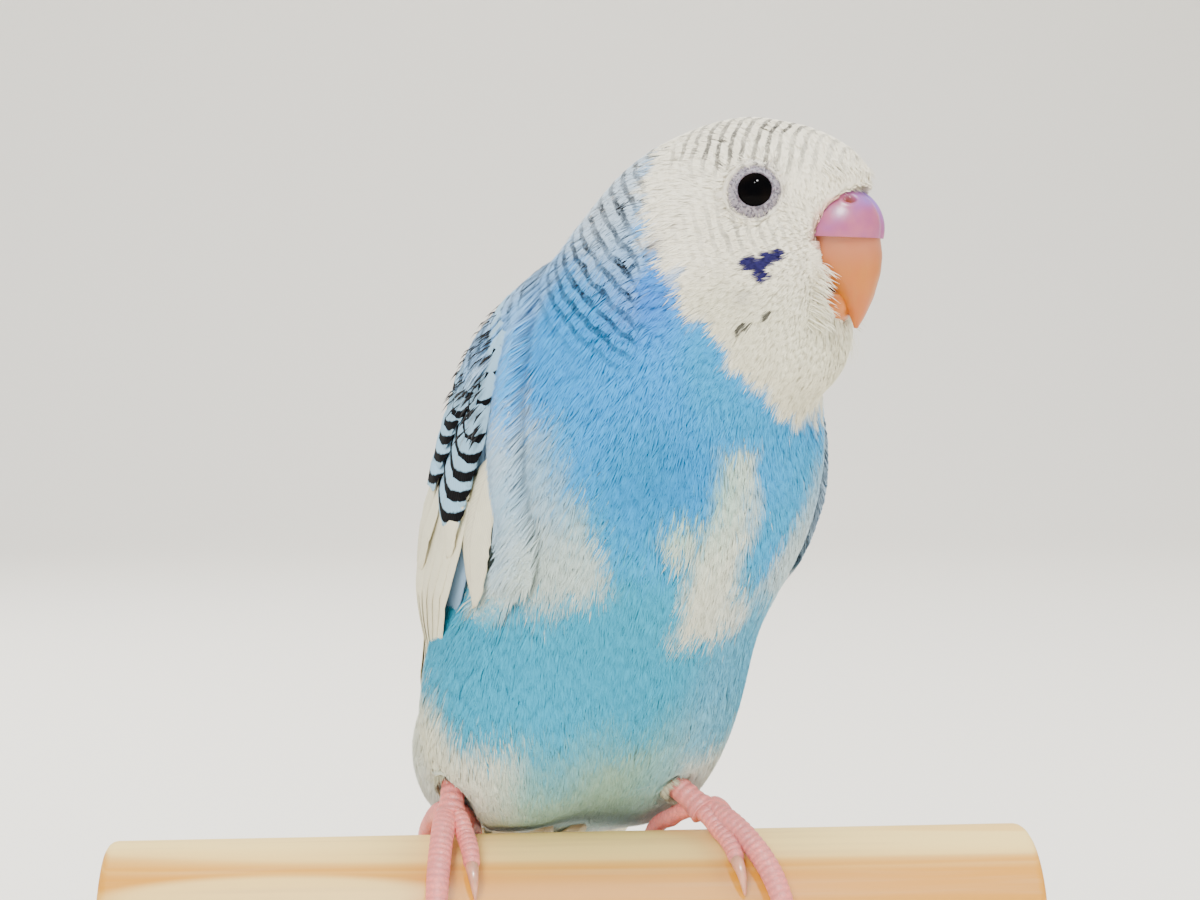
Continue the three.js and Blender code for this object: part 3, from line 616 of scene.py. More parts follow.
def markings(points):
    """Colour, strength of the bars, and the bars' running count, for places on the plumage."""
    look = bpy.context.scene.plumage
    head, trunk = into(HEAD, points), into(TRUNK, points)
    level = trunk[:, 2]
    angle = np.degrees(np.arctan2(trunk[:, 0], trunk[:, 1]))
    broad, ragged = wobble(points, 7, 1), wobble(points, 2.2, 2)
    behind = smooth(-trunk[:, 1], 4, 9)

    def paint(base, name, share):
        return base + (np.array(getattr(look, name)) - base) * np.clip(share, 0, 1)[:, None]

    tint = np.tile(np.array(look.sky), (len(points), 1))
    tint = paint(tint, "teal", smooth(62 - level + 5 * broad, 0, 22))
    tint = paint(tint, "belly", smooth(27 - level + 3 * broad - 0.1 * np.abs(angle), 0, 20) * (1 - behind))
    corner = np.minimum(np.linalg.norm(head - (11.9, -8.5, -10), axis=1),
                        np.linalg.norm(head - (-11.9, -8.5, -10), axis=1))
    tint = paint(tint, "violet", 0.8 * hill(corner, 4.8))
    edge = (head[:, 2] + 1.35 * head[:, 1] + 16.6) / 1.68
    tint = paint(tint, "teal", 0.5 * hill(edge + 3, 4.5) * smooth(20 - angle, -10, 10) * (level > 40))

    # Cream patches of the breast
    around = np.where(angle >= 0, angle, 6 - angle)
    top, bottom = np.interp(around, *PATCH_TOP), np.interp(around, *PATCH_BOTTOM)
    inside = np.minimum(level - bottom, top - level) + 1.6 * broad + 1.1 * ragged
    side_patch = smooth(inside, -2.4, 3.2) * smooth(around, 22, 33) * (1 - behind)
    warm = blend(0.34, 0.6, smooth(52 - level, -2, 8)) + 0.26 * smooth(around, 58, 80)
    tint = paint(tint, "cream", side_patch * warm)
    beside = np.interp(level, *WING_FRONT)
    tint = paint(tint, "nape", 0.6 * smooth(around - beside, -6, 9) * smooth(level, 34, 44) * (1 - behind))
    column = np.minimum(3.2 - np.abs(angle + 4) * DEGREE, np.minimum(level - 37, 61 - level))
    foot = np.minimum(np.minimum(level - 35.5, 42.5 - level), np.minimum(angle + 24, 4 - angle) * DEGREE)
    lobe = 2.4 - np.hypot((angle - 11) * DEGREE, (level - 50) * 0.8)
    column = np.maximum(np.maximum(column, foot), lobe) + 0.9 * broad + 0.9 * ragged
    tint = paint(tint, "cream", 0.85 * smooth(column, -1.3, 1.9) * (1 - behind))
    thigh = np.minimum((angle - 47) * 0.35, 16 - level)
    thigh = np.maximum(thigh, np.minimum((-angle - 22) * 0.35, 15 - level)) + broad
    tint = paint(tint, "cream", 0.8 * smooth(thigh, -2.4, 3.6))
    tint = paint(tint, "cream", smooth(-4 - level + broad, -2, 3) * (1 - 0.8 * behind))

    # Paler blue low between the legs, painted light that lifts the lowest feathers out of the shade they face down
    # into; and a paler blue at the left
    tint = paint(tint, "nape", 0.35 * smooth(11 - level, 0, 12) * (1 - behind))
    tint = paint(tint, "nape", 0.22 * smooth(-angle, 0, 25) * smooth(48 - level, 0, 8) * (1 - behind))

    # Pied back: a cream saddle, then blue on the rump
    saddle = hill(level - 30 - 8 * broad, 9) * behind
    tint = paint(tint, "cream", 0.7 * saddle)
    mantle = behind * smooth(level, 34, 42)
    tint = paint(tint, "nape", 0.9 * mantle)

    # White mask, crown and throat, then the barred nape
    hind = head[:, 1] + 10.4 + 0.25 * np.maximum(head[:, 2], 0)
    mask = np.minimum(edge, hind) - 1.8 * hill(edge - hind, 3) * smooth(-head[:, 2], 6, 10)
    nape = smooth(-hind + 1.2 * ragged, -2.4, -0.4) * smooth(level, 66, 78)
    tint = paint(tint, "nape", 0.7 * nape * smooth(level, 68, 80))
    tint = paint(tint, "white", 0.4 * nape * smooth(head[:, 2] + 1.5 * broad, -9, 1))
    white = smooth(mask + 1.1 * ragged + 0.5 * broad, -0.9, 1.1)
    tint = paint(tint, "white", white)
    tint = paint(tint, "cream", 0.95 * white * smooth(-head[:, 2] + broad, 4, 13))

    # Bars: fine over the crown, faint on the cheek, strong on the nape and the mantle
    reach = np.linalg.norm(points - CERE_MIDDLE, axis=1)
    turned = np.linalg.norm(points - NAPE_MIDDLE, axis=1) + 9.5
    turned = blend(reach, turned, smooth(-head[:, 1], 6.5, 10))
    phase = np.log1p(BAR_GROWTH * turned / BAR_PITCH) / BAR_GROWTH + 0.1 * ragged
    crown = smooth(head[:, 2], 2.2, 5.4) * smooth(head[:, 1], -9, -5.5) * smooth(reach, 3.5, 6)
    crown = crown * blend(1, 0.4, smooth(head[:, 1], 3, 9))
    cheek = hill(np.linalg.norm((head - (0, 1.5, -2.6)) / (40, 6.5, 3.4), axis=1), 1)
    strip = smooth(level, 65.5, 71) * smooth(-hind + 0.8 * ragged, -1.8, 0.6)
    barred = np.maximum(0.9 * crown, 0.5 * cheek * white) * (0.75 + 0.45 * ragged)
    barred = np.maximum(barred, np.maximum(0.95 * strip, 0.95 * mantle) * (0.8 + 0.35 * ragged))

    # Violet cheek patches and small spots
    flank = np.abs(head[:, 0])
    for y, z, size in CHEEK_SPOTS:
        near = hill(np.hypot(head[:, 1] - y, head[:, 2] - z), size)
        tint = paint(tint, "cheek", smooth(near, 0.3, 0.6) * (flank > 5))
    for _, centre, axis in eyes():
        gap = points - centre
        out = np.linalg.norm(gap - (gap @ axis)[:, None] * axis, axis=1) + 50 * (gap @ axis < 0)
        tint = paint(tint, "orbit", (0.75 + 0.5 * ragged) * (1 - smooth(out, 1.9, 3.8)))
    rim = (np.linalg.norm((head - CERE_CENTRE) / CERE_RADII, axis=1) - 1) * 5
    tint = paint(tint, "lore", 0.6 * (1 - smooth(rim, 0.2, 1.1)) * (head[:, 2] > -4.5) * (head[:, 2] < 1.5))
    for spot, size, share in THROAT_SPOTS:
        near = hill(np.linalg.norm(head * (np.sign(head[:, :1]) * (1, 0, 0) + (0, 1, 1)) - spot, axis=1), size)
        tint = paint(tint, "cheek", share * near)
    for spot in FLECKS:
        fleck = hill(np.linalg.norm((head - spot) / (3, 0.4, 0.8), axis=1), 0.8)
        tint = paint(tint, "bars", 0.9 * smooth(fleck, 0.3, 0.6))

    # A deeper blue before the shoulder
    deep = hill(level - 56.5, 7.5) * hill(angle - 20, 26) * (1 - white)
    tint = tint * (1 - deep[:, None] * (0.82, 0.31, 0.33))
    return np.clip(tint, 0, 1), np.clip(barred, 0, 1), phase


# The coat: every small feather is a fan of fine barbs, each a closed sliver widest at its middle
BARB_FACES = [(2, 4, 3), (1, 3, 4), (1, 4, 2), (0, 2, 3), (0, 3, 1), (0, 1, 2)]
BARB_PATCH = np.array(((0, -1), (-1, 0), (1, 0), (0, 0), (0, 1))) * 0.0015
# Painted shade and light along each barb: darker at the root and sides, where the feathers above shade it, a touch
# lighter at the tip.
BARB_PAINTED_SHADE = np.array((0.92, 0.98, 0.98, 1, 1.02))[:, None]
COAT_SEED = 7
ROOTS_TRIED = 80000
FACE_REACH = 19


def add_barbs(pile, barbs, maps, tint, barred=None, phase=None):
    """Adds barbs to a pile; barred and phase are given at each barb's middle and at its tip."""
    none = np.zeros((len(barbs), 2))
    barred, phase = ((none if value is None else value).reshape(-1, 2)[:, (0, 0, 0, 0, 1)]
                     for value in (barred, phase))
    pile.add(barbs, BARB_FACES, tint=np.broadcast_to(tint, barbs.shape), barred=barred, phase=phase,
             OFBake=maps[:, None] + BARB_PATCH)


def spokes(axis, aside, turn):
    """Unit vectors square to an axis, one for each turn round it."""
    across = unit(np.cross(axis, aside))
    return across * np.cos(turn)[:, None] + np.cross(axis, across) * np.sin(turn)[:, None]


def lie(points):
    """The way the coat lies: away from the bill on the head, then down to the tail."""
    away = points - BILL_BASE
    reach = np.linalg.norm(away, axis=1)
    trunk = into(TRUNK, points)
    front = smooth(trunk[:, 1], -2, 8)
    lateral = front * trunk[:, 0] / 20 * blend(-0.42, 0.32, smooth(trunk[:, 2], 22, 58))
    tailward = np.stack((lateral, 0 * reach, -np.ones(len(points))), 1) @ TRUNK[1]
    share = smooth(reach, 12, 30)[:, None]
    way = blend(unit(away), tailward, share)
    for _, centre, axis in eyes():
        gap = points - centre
        gap = gap - (gap @ axis)[:, None] * axis
        way = way + 1.5 * unit(gap) * hill(np.linalg.norm(points - centre, axis=1) - 2.5, 2)[:, None]
    return unit(way)


# Eyes: how far bare skin reaches, how far they sit above the solids' eyes, and the right one's way out
LID_RADIUS = 1.98
EYE_LIFT = 0.3
EYE_AXIS = unit(np.array((0.93, 0.33, 0.13)))
SIDES = ((1, "right"), (-1, "left"))


def eyes():
    """Each eye's side, centre and the way it looks."""
    for side, name in SIDES:
        low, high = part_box("eye_" + name)
        centre = np.array((low + high) / 2) / MM + HEAD[1][2] * EYE_LIFT
        yield side, centre, (EYE_AXIS * (side, 1, 1)) @ HEAD[1]


def clear_eyes(points, radius):
    """True where a point is further than radius from the line that each eye looks along."""
    clear = np.ones(points.shape[:-1], bool)
    for _, centre, axis in eyes():
        gap = points - centre
        height = gap @ axis
        clear &= (np.linalg.norm(gap - height[..., None] * axis, axis=-1) > radius) | (height < 0)
    return clear


def clear_perch(points):
    """Lays what would sink into the perch on its surface."""
    over = points[..., 1:] - (0, PERCH_AXIS_Z)
    distance = np.linalg.norm(over, axis=-1)
    out = np.maximum(1, (PERCH_RADIUS + 0.12) / distance)
    out = np.where(np.abs(points[..., 0]) < PERCH_LENGTH / 2 + 0.5, out, 1)
    points[..., 1:] = over * out[..., None] + (0, PERCH_AXIS_Z)


def sites(skin, rng, spacing_at, wanted):
    """Feather roots scattered over the skin, no two closer than the spacing there."""
    share = skin["areas"] / np.square(spacing_at(skin["corners"].mean(1)))
    faces = rng.choice(len(share), size=wanted, p=share / share.sum())
    weights = rng.dirichlet((1, 1, 1, 1), wanted)
    points = (skin["corners"][faces] * weights[..., None]).sum(1)
    spacing = spacing_at(points)
    cells, kept = {}, []
    cell = spacing.max()
    keys = np.floor(points / cell).astype(int)
    for i, key in enumerate(map(tuple, keys)):
        near = [j for dx in (-1, 0, 1) for dy in (-1, 0, 1) for dz in (-1, 0, 1)
                for j in cells.get((key[0] + dx, key[1] + dy, key[2] + dz), ())]
        if near:
            gaps = np.square(points[near] - points[i]).sum(1)
            if gaps.min() < spacing[i] ** 2:
                continue
        cells.setdefault(key, []).append(i)
        kept.append(i)
    return points[kept], faces[kept]


def snap(skin, points):
    """The nearest place on the skin to each point, with its normal and its face."""
    find = skin["tree"].find_nearest
    found = [find(point) for point in points.tolist()]
    faces = np.array([hit[2] for hit in found])
    return np.array([hit[0] for hit in found]), skin["normals"][faces], faces


# The wing's edges: levels from the shoulder down, and the angle of the lower and the upper edge there
CORE_LOWER = ((61, 57, 50, 42, 30, 20, 0, -24), (106, 92, 79, 75, 80, 94, 120, 146))
CORE_UPPER = ((61, 57, 45, 10, -24), (134, 150, 168, 170, 160))
COVER_MARGIN = 12
COVER_LEVELS = (-14, 54)


def wing_edge(level, edge):
    return np.interp(-level, -np.array(edge[0]), edge[1])


def wing_cover(points):
    """True where a folded wing hides the skin."""
    local = into(TRUNK, points)
    level = local[:, 2]
    depth = blend(-7, -1, smooth(level, -14, 14))
    angle = np.degrees(np.arctan2(np.abs(local[:, 0]), local[:, 1] - depth))
    inner = angle > wing_edge(level, CORE_LOWER) + COVER_MARGIN
    inner &= angle < wing_edge(level, CORE_UPPER) - COVER_MARGIN
    return inner & (level > COVER_LEVELS[0]) & (level < COVER_LEVELS[1])


def fans(skin, rng, roots, faces, sizes, count, back=False):
    """Barbs of each feather: points (n, 5, 3), the ways they lie and their roots' places on the map."""
    normals = skin["normals"][faces]
    along = -lie(roots) if back else lie(roots)
    along = unit(along - (along * normals).sum(1, keepdims=True) * normals)
    feather_length, feather_width, barb_width, lift = sizes
    full = RUFF_RISE * ruff(roots)[:, None]
    number = len(roots)
    swing = rng.normal(0, 0.07, number)
    across = np.cross(along, normals)
    along = unit(along + swing[:, None] * across)
    across = np.cross(along, normals)
    spread = (np.arange(count) + 0.5) / count * 2 - 1
    spread = spread[None] + rng.uniform(-0.7, 0.7, (number, count)) / count
    end = 1 - 0.4 * spread ** 2 + rng.normal(0, 0.07, (number, count))
    high = rng.normal(0, 0.08, number)

    def spot(share, side):
        offset = (along[:, None] * (share * feather_length[:, None])[..., None]
                  + across[:, None] * (side * feather_width[:, None] / 2)[..., None])
        return snap(skin, (roots[:, None] + offset).reshape(-1, 3))

    start = np.where(feather_length < 3, 0.92, 0.68)[:, None]
    stations = [spot(end - start, spread * 0.25), spot(end - 0.45 * start, spread * 0.72), spot(end, spread)]
    cup = 0.16 * (1 - spread ** 2)
    rise = lift[:, None]
    heights = [full * 0.94 - np.full((number, count), 0.2), full + rise * (0.55 + 0.5 * cup + 0.4 * high[:, None]),
               full + rise * (1 + cup + 0.7 * high[:, None] + rng.normal(0, 0.08, (number, count)))]
    lines = [place + normal * height.reshape(-1, 1) for (place, normal, _), height in zip(stations, heights)]
    barb_along = unit(lines[2] - lines[0])
    side = unit(np.cross(barb_along, stations[1][1]))
    up = np.cross(side, barb_along)
    width = np.repeat(barb_width, count)[:, None] * rng.uniform(0.75, 1.2, (number * count, 1)) / 2
    points = np.stack((lines[0], lines[1] - side * width, lines[1] + side * width, lines[1] + up * width * 0.3,
                       lines[2]), 1)
    return points, barb_along, skin["maps"][stations[0][2]]


# The coat's pieces: the most barbs in one, and the barbs of a feather on head and neck and on the body
PIECE_LIMIT = 32500
HEAD_BARBS = 12
BODY_BARBS = 20
COAT_NAMES = ("coat_face_right", "coat_face_left", "coat_neck_right", "coat_neck_left", "coat_breast_right",
              "coat_breast_left", "coat_belly_right", "coat_belly_left", "coat_rump_right", "coat_rump_left")


def coat_region(roots):
    """Which coat piece a feather belongs to."""
    head, trunk = into(HEAD, roots), into(TRUNK, roots)
    level, side = trunk[:, 2], trunk[:, 0] >= 0
    reach = np.linalg.norm(roots - BILL_BASE, axis=1)
    region = np.where(level > 60, 2, np.where(level > 44, 4, np.where(level > 22, 6, 8)))
    region = region + np.where(side, 0, 1)
    return np.where(reach < FACE_REACH, np.where(head[:, 0] >= 0, 0, 1), region)


# Feathers that run from the body over a wing's edge: levels, the edge's angles, the way across, how many
WING_FRINGES = (
    ((41, 45, 50, 57, 62, 67), (62, 62, 70, 80, 90, 104), 1, 2000),
    ((-14, 0, 12, 20, 26, 34, 42), (140, 118, 104, 93, 84, 73, 63), 1, 2900),
    ((12, 30, 45, 57, 62), (171, 171, 168, 152, 138), -1, 2200),
)
FRINGE_WIDTH = 0.3
FRINGE_OVER = 2.4
# How high a fringe's tips lie over the wing, by level: from the front, and from behind
FRINGE_LEVELS = (10, 34, 40, 51, 60)
FRINGE_REST = {1: (1.0, 0.8, 0.45, 0.4, 0.3), -1: (1.4, 2.4, 2.8, 1.9, 0.8)}
# The left wing's feathers lie flatter than the right one's
LEFT_RISE = 0.65
# Feathers round the shanks: how wide and long, and how many; their tint, as shares of two colours' sum
CUFFS = {"right": (2.7, 3.0, 1200), "left": (1.95, 2.3, 900)}
CUFF_TINT = (0.52, 0.44, 0.42)


def from_trunk(points, level):
    """The way out from the trunk's axis at each point."""
    return unit(points - out_of(TRUNK, np.stack((0 * level, 0 * level, level), 1)))


def slivers(root, middle, tip, width, up):
    """Barbs through three places each: points (n, 5, 3)."""
    along = unit(tip - root)
    side = unit(np.cross(along, up))
    lift = np.cross(side, along)
    return np.stack((root, middle - side * width / 2, middle + side * width / 2, middle + lift * width * 0.15,
                     tip), 1)


def wing_fringe(side, rng, spec):
    """Body feathers that overlap a wing's edge."""
    levels, edges, way, count = spec
    level = rng.uniform(levels[0], levels[-1], count)
    gap = rng.uniform(1, 12, count)
    start = np.interp(level, levels, edges) - way * gap
    drop = rng.uniform(3.2, 6, count)
    edge = np.interp(level - drop, levels, edges)
    reach = way * np.minimum(rng.uniform(0.5, 5, count), way * (edge - start) + rng.uniform(0, FRINGE_OVER, count))
    over = 1 + np.interp(level - drop, FRINGE_LEVELS, FRINGE_REST[way]) + rng.uniform(0, 0.25, count)
    over = over * (LEFT_RISE if side < 0 else 1)
    share = smooth(way * (start + reach - edge), -9, 2)
    root, _ = on_bed(side, level, start, -0.6)
    middle, _ = on_bed(side, level - 0.5 * drop, start + 0.45 * reach, blend(0.3, 0.75 * over, share))
    tip, _ = on_bed(side, level - drop, start + reach, blend(0.1, over, share))
    width = FRINGE_WIDTH * rng.uniform(0.7, 1.1, (count, 1))
    return slivers(root, middle, tip, width, from_trunk(root, level))


# Over each shoulder: how many, the levels of their roots, lengths, width and height over the wing
SHOULDER_HAIRS = 1500, (60, 69), (4, 8), 0.28, 0.2
STREAKS = 64, (53, 63), (1.8, 3.2), 0.46, 0.75
# Levels and the heights there of their roots and of their tips
SHOULDER_START = (50, 60, 63), (2.2, 1.2, -0.5)
SHOULDER_END = (50, 55, 59, 63), (2.7, 1.9, 1.4, 0.2)


def shoulder(side, rng, count, levels, drops, width, over):
    """Hairs or dark streaks that run from the neck's foot over the top of the wing."""
    level, drop = rng.uniform(*levels, count), rng.uniform(*drops, count)
    angle = wing_edge(level, CORE_LOWER) + rng.uniform(-8, 44, count)
    end = level - drop
    rest = np.interp(end, *SHOULDER_END) * (LEFT_RISE if side < 0 else 1)
    rest = over + rest * blend(0.6, 1, smooth(angle - wing_edge(end, CORE_LOWER), -4, 14))
    begin = np.interp(level, *SHOULDER_START) * (LEFT_RISE if side < 0 else 1)
    root, _ = on_bed(side, level, angle, begin)
    middle, _ = on_bed(side, level - 0.5 * drop, angle + 0.6, (begin + rest) / 2 + 0.25)
    tip, _ = on_bed(side, end, angle + 1.2, rest)
    return slivers(root, middle, tip, width, from_trunk(root, level))


def cuff(name, rng):
    """Feathers hanging round the top of a shank."""
    foot = TOES[name]
    wide, long, count = CUFFS[name]
    hock, palm = (np.array(foot[key]) + PERCH_TOP for key in ("hock", "palm"))
    along = unit(palm - hock)
    out = spokes(along, (1, 0.3, 0.2), rng.uniform(0, 2 * np.pi, count))
    start = rng.uniform(1, 4.1, (count, 1))
    reach = long * rng.uniform(0.8, 1.1, (count, 1))
    root = hock + along * start + out * wide * rng.uniform(0.8, 1.05, (count, 1))
    middle = hock + along * (start + 0.5 * reach) + out * wide * rng.uniform(0.75, 1.0, (count, 1))
    tip = hock + along * (start + reach) + out * blend(TARSUS_RADIUS + 0.3, wide, rng.uniform(0.1, 0.8, (count, 1)))
    return slivers(root, middle, tip, 0.22, out)


# Loose hairs: how many in front of the throat, beside the bill and over the cere
WISPS = 70
BILL_HAIRS = 420
BROW_HAIRS = 900


def beard(rng):
    """Long loose hairs in front of the throat."""
    x, long = rng.uniform(-3.6, 3.6, WISPS), rng.uniform(2.5, 5.5, WISPS)
    root = np.stack((x, rng.uniform(9, 11, WISPS), rng.uniform(-13.5, -11.5, WISPS)), 1)
    way = unit(np.stack((x * 0.1, rng.uniform(0.05, 0.5, WISPS), rng.uniform(-1.4, -0.9, WISPS)), 1))
    tip = root + way * long[:, None] - (0, 0.4, 0)
    middle = (root + tip) / 2 + (0, 0.35, 0)
    return slivers(*(out_of(HEAD, place) for place in (root, middle, tip)), 0.12, HEAD[1][1])


def cheek_hairs(rng, skin):
    """Short hairs that lie forwards over the bill's edges."""
    side = np.where(rng.random(BILL_HAIRS) < 0.5, -1.0, 1.0)
    z = rng.uniform(-12.5, -5.5, BILL_HAIRS)
    seed = np.stack((side * rng.uniform(3.4, 5, BILL_HAIRS), rng.uniform(6, 8.6, BILL_HAIRS), z), 1)
    root, normal, _ = snap(skin, out_of(HEAD, seed))
    way = np.stack((-0.12 * side, rng.uniform(1, 1.5, BILL_HAIRS), rng.uniform(-1.1, -0.5, BILL_HAIRS)), 1)
    tip = root + unit(way) @ HEAD[1] * rng.uniform(1.4, 2.8, (BILL_HAIRS, 1)) + normal * 0.3
    return slivers(root, (root + tip) / 2 + normal * 0.25, tip, 0.14, normal)


def brow_hairs(rng, skin):
    """Short hairs of the forehead that reach the cere."""
    x = rng.uniform(-4.6, 4.6, BROW_HAIRS)
    seed = np.stack((x, rng.uniform(9.5, 11.5, BROW_HAIRS) - 0.09 * x ** 2, rng.uniform(3.2, 4.6, BROW_HAIRS)), 1)
    root, normal, _ = snap(skin, out_of(HEAD, seed))
    way = np.stack((0.12 * x, rng.uniform(0.7, 1.1, BROW_HAIRS), rng.uniform(-1.3, -0.6, BROW_HAIRS)), 1)
    tip = root + unit(way) @ HEAD[1] * rng.uniform(1.1, 2.1, (BROW_HAIRS, 1)) + normal * 0.1
    return slivers(root, (root + tip) / 2 + normal * 0.2, tip, 0.14, normal)


# Tiny feathers round each eye, and how the lids' outer slope falls with the distance from its middle
ORBIT_HAIRS = 800
ORBIT_SLOPE = (2.0, 2.18, 2.4, 2.8, 3.2, 3.6), (2.8, 2.66, 2.38, 1.95, 1.6, 1.35)


def orbit_hairs(rng, centre, axis):
    """Tiny feathers round an eye, and how far out each one stands, from 0 to 1."""
    out = spokes(axis, HEAD[1][2], rng.uniform(0, 2 * np.pi, ORBIT_HAIRS))
    start = 2.2 + 0.75 * np.sqrt(rng.random(ORBIT_HAIRS))

    def at(radius, lift):
        return centre + out * radius[:, None] + axis * (np.interp(radius, *ORBIT_SLOPE) + lift)[:, None]

    hairs = slivers(at(start, -0.04), at(start + 0.35, 0.1), at(start + 0.75, 0.12), 0.13, axis)
    return hairs, smooth(start, 2.2, 2.95)


def fineness(points):
    """How far a feather is from the fine ones of the face, from 0 to 1."""
    return smooth(np.linalg.norm(points - BILL_BASE, axis=1), 5, 42)


def spacing(points):
    return blend(0.5, 1.25, fineness(points))


def near_bill(roots):
    """True where feathers also lie forwards over the bill's edge."""
    return (np.linalg.norm(roots - BILL_BASE, axis=1) < 7.2) & (into(HEAD, roots)[:, 2] < -3.6)


def nearest_maps(skin, barbs):
    return skin["maps"][snap(skin, barbs[:, 0])[2]]


def coloured(rng, points, along, maps):
    """Drops barbs that reach into an eye or the perch; gives the others' tint, with painted shade at each barb's root
    and sides, and their bars and phase.
    """
    keep = clear_eyes(points, LID_RADIUS - 0.12).all(1)
    keep &= np.linalg.norm(points[..., 1:] - (0, PERCH_AXIS_Z), axis=-1).min(1) > PERCH_RADIUS - 0.4
    clear_perch(points)
    points, along, maps = points[keep], along[keep], maps[keep]
    loose = smooth(np.linalg.norm(points[:, 3] - BILL_BASE, axis=1), 14, 34)
    stray = rng.normal(0, 1, (len(points), 1)) * blend(0.15, 1.3, loose)[:, None]
    tint, _, _ = markings(points[:, 3] + along * stray + 0.25 * stray * rng.normal(0, 1, (len(points), 3)))
    _, barred, phase = markings(points[:, (3, 4)].reshape(-1, 3))
    # Each feather's tint varies at random, and painted shade darkens each barb's root and sides and lightens its tip.
    tone_and_painted_shade = rng.normal(1, 0.045, (len(points), 1, 1)) * BARB_PAINTED_SHADE
    return points, maps, tint[:, None] * tone_and_painted_shade, barred, phase


def lay_coat(pile, name, slot):
    piece = pile.build(name)
    piece.data.shade_flat()
    settle(piece, slot, material=plumage_finish())


class BUDGIE_OT_coat(bpy.types.Operator):
    """Grow the small feathers of the head and body over the skin"""
    bl_idname = "budgie.coat"
    bl_label = "Coat"

    def execute(self, context):
        look = context.scene.plumage
        rng = np.random.default_rng(COAT_SEED)
        skin = skin_tree()

        roots, faces = sites(skin, rng, spacing, ROOTS_TRIED)
        keep = ~wing_cover(roots)
        keep &= clear_eyes(roots, LID_RADIUS)
        roots, faces = roots[keep], faces[keep]
        region = coat_region(roots)
        fine = fineness(roots)
        long = blend(look.face_length / MM, look.body_length / MM, fine) * rng.uniform(0.9, 1.1, len(roots))
        sizes = np.array((long, long * blend(0.62, 0.6, fine), blend(0.16, 0.25, fine), blend(0.28, 0.36, fine)))
        for number, name in enumerate(COAT_NAMES):
            here = np.flatnonzero(region == number)
            if not len(here):
                raise RuntimeError(f"no feathers for {name}")
            face = number < 2
            count = int(min(BODY_BARBS if number > 3 else HEAD_BARBS, PIECE_LIMIT // len(here)))
            fan = fans(skin, rng, roots[here], faces[here], sizes[:, here], count)
            if face:
                here = here[near_bill(roots[here])]
                small = sizes[:, here] * np.array((0.8, 1, 1, 1.3))[:, None]
                extra = fans(skin, rng, roots[here], faces[here], small, count, back=True)
                fan = [np.concatenate(pair) for pair in zip(fan, extra)]
            pile = Pile()
            add_barbs(pile, *coloured(rng, *fan))
            lay_coat(pile, name, "plumage_white" if face else "plumage_blue")

        hairs = [wing_fringe(side, rng, spec) for side, _ in SIDES for spec in WING_FRINGES]
        hairs += [shoulder(side, rng, *SHOULDER_HAIRS) for side, _ in SIDES]
        hairs += [beard(rng), cheek_hairs(rng, skin), brow_hairs(rng, skin)]
        socks = np.concatenate([cuff(name, rng) for name in CUFFS])
        hairs = np.concatenate(hairs + [socks])
        clear_perch(hairs)
        tint, _, _ = markings(hairs[:, 0] + rng.normal(0, 0.6, (len(hairs), 3)))
        tint[-len(socks):] = (np.array(look.cream) + np.array(look.belly)) * CUFF_TINT
        _, barred, phase = markings(hairs[:, (3, 4)].reshape(-1, 3))
        tint = tint[:, None] * rng.normal(1, 0.04, (len(hairs), 1, 1))
        pile = Pile()
        add_barbs(pile, hairs, nearest_maps(skin, hairs), tint, barred, phase)
        streaks = np.concatenate([shoulder(side, rng, *STREAKS) for side, _ in SIDES])
        add_barbs(pile, streaks, nearest_maps(skin, streaks), tuple(look.bars))
        for _, centre, axis in eyes():
            hairs, outer = orbit_hairs(rng, centre, axis)
            share = np.clip(outer + rng.normal(-0.1, 0.25, len(hairs)), 0, 1)
            tint = blend(np.array(look.orbit), np.array(look.white), share[:, None])
            add_barbs(pile, hairs, nearest_maps(skin, hairs), tint[:, None])
        lay_coat(pile, "coat_fringes", "plumage_blue")
        return {"FINISHED"}


# Wings and tail: each vane is a thin closed plate over the bed, with a shaft and rounded or pointed end
VANE_ROWS = 12
VANE_COLUMNS = 7
LONG_ROWS = 22
WING_REST = 0.85
WING_SEED = 11
# The plate under a wing's vanes, and how many patches lie side by side on a wing's OFBake map
CORE_ROWS, CORE_COLUMNS = 40, 14
CORE_LEVELS = (61, -24)
MAP_CELLS = 24


def covert_width(share):
    return np.where(share < 0.5, 0.3 + 0.7 * np.sin(np.pi * np.minimum(share, 0.5)),
                    np.sqrt(np.maximum(1 - ((share - 0.5) / 0.51) ** 2, 0)))


def finger_width(share):
    return (0.4 + 0.6 * np.sin(np.pi / 2 * np.minimum(share / 0.25, 1))) * np.maximum(
        1 - (np.maximum(share - 0.45, 0) / 0.552) ** 2, 0) ** 0.8


def flight_width(share):
    return np.where(share < 0.7, 0.35 + 0.65 * np.sin(np.pi / 2 * np.minimum(share / 0.45, 1)),
                    np.maximum(1 - (np.maximum(share - 0.7, 0) / 0.302) ** 2.2, 0) ** 0.6)


class Tier:
    """A row of feathers between two ends: roots and tips as (level, angle)."""

    def __init__(self, count, roots, tips, width, rise, step, ground="cream", barred=0.0, flight=False, bow=0.0):
        self.count, self.roots, self.tips, self.width = count, np.array(roots), np.array(tips), width
        self.rise, self.step, self.ground, self.barred = rise, step, ground, barred
        self.flight, self.bow = flight, bow
        self.lean = 0.16 if barred else -0.16
        self.shape = finger_width if count == 2 else flight_width if flight else covert_width


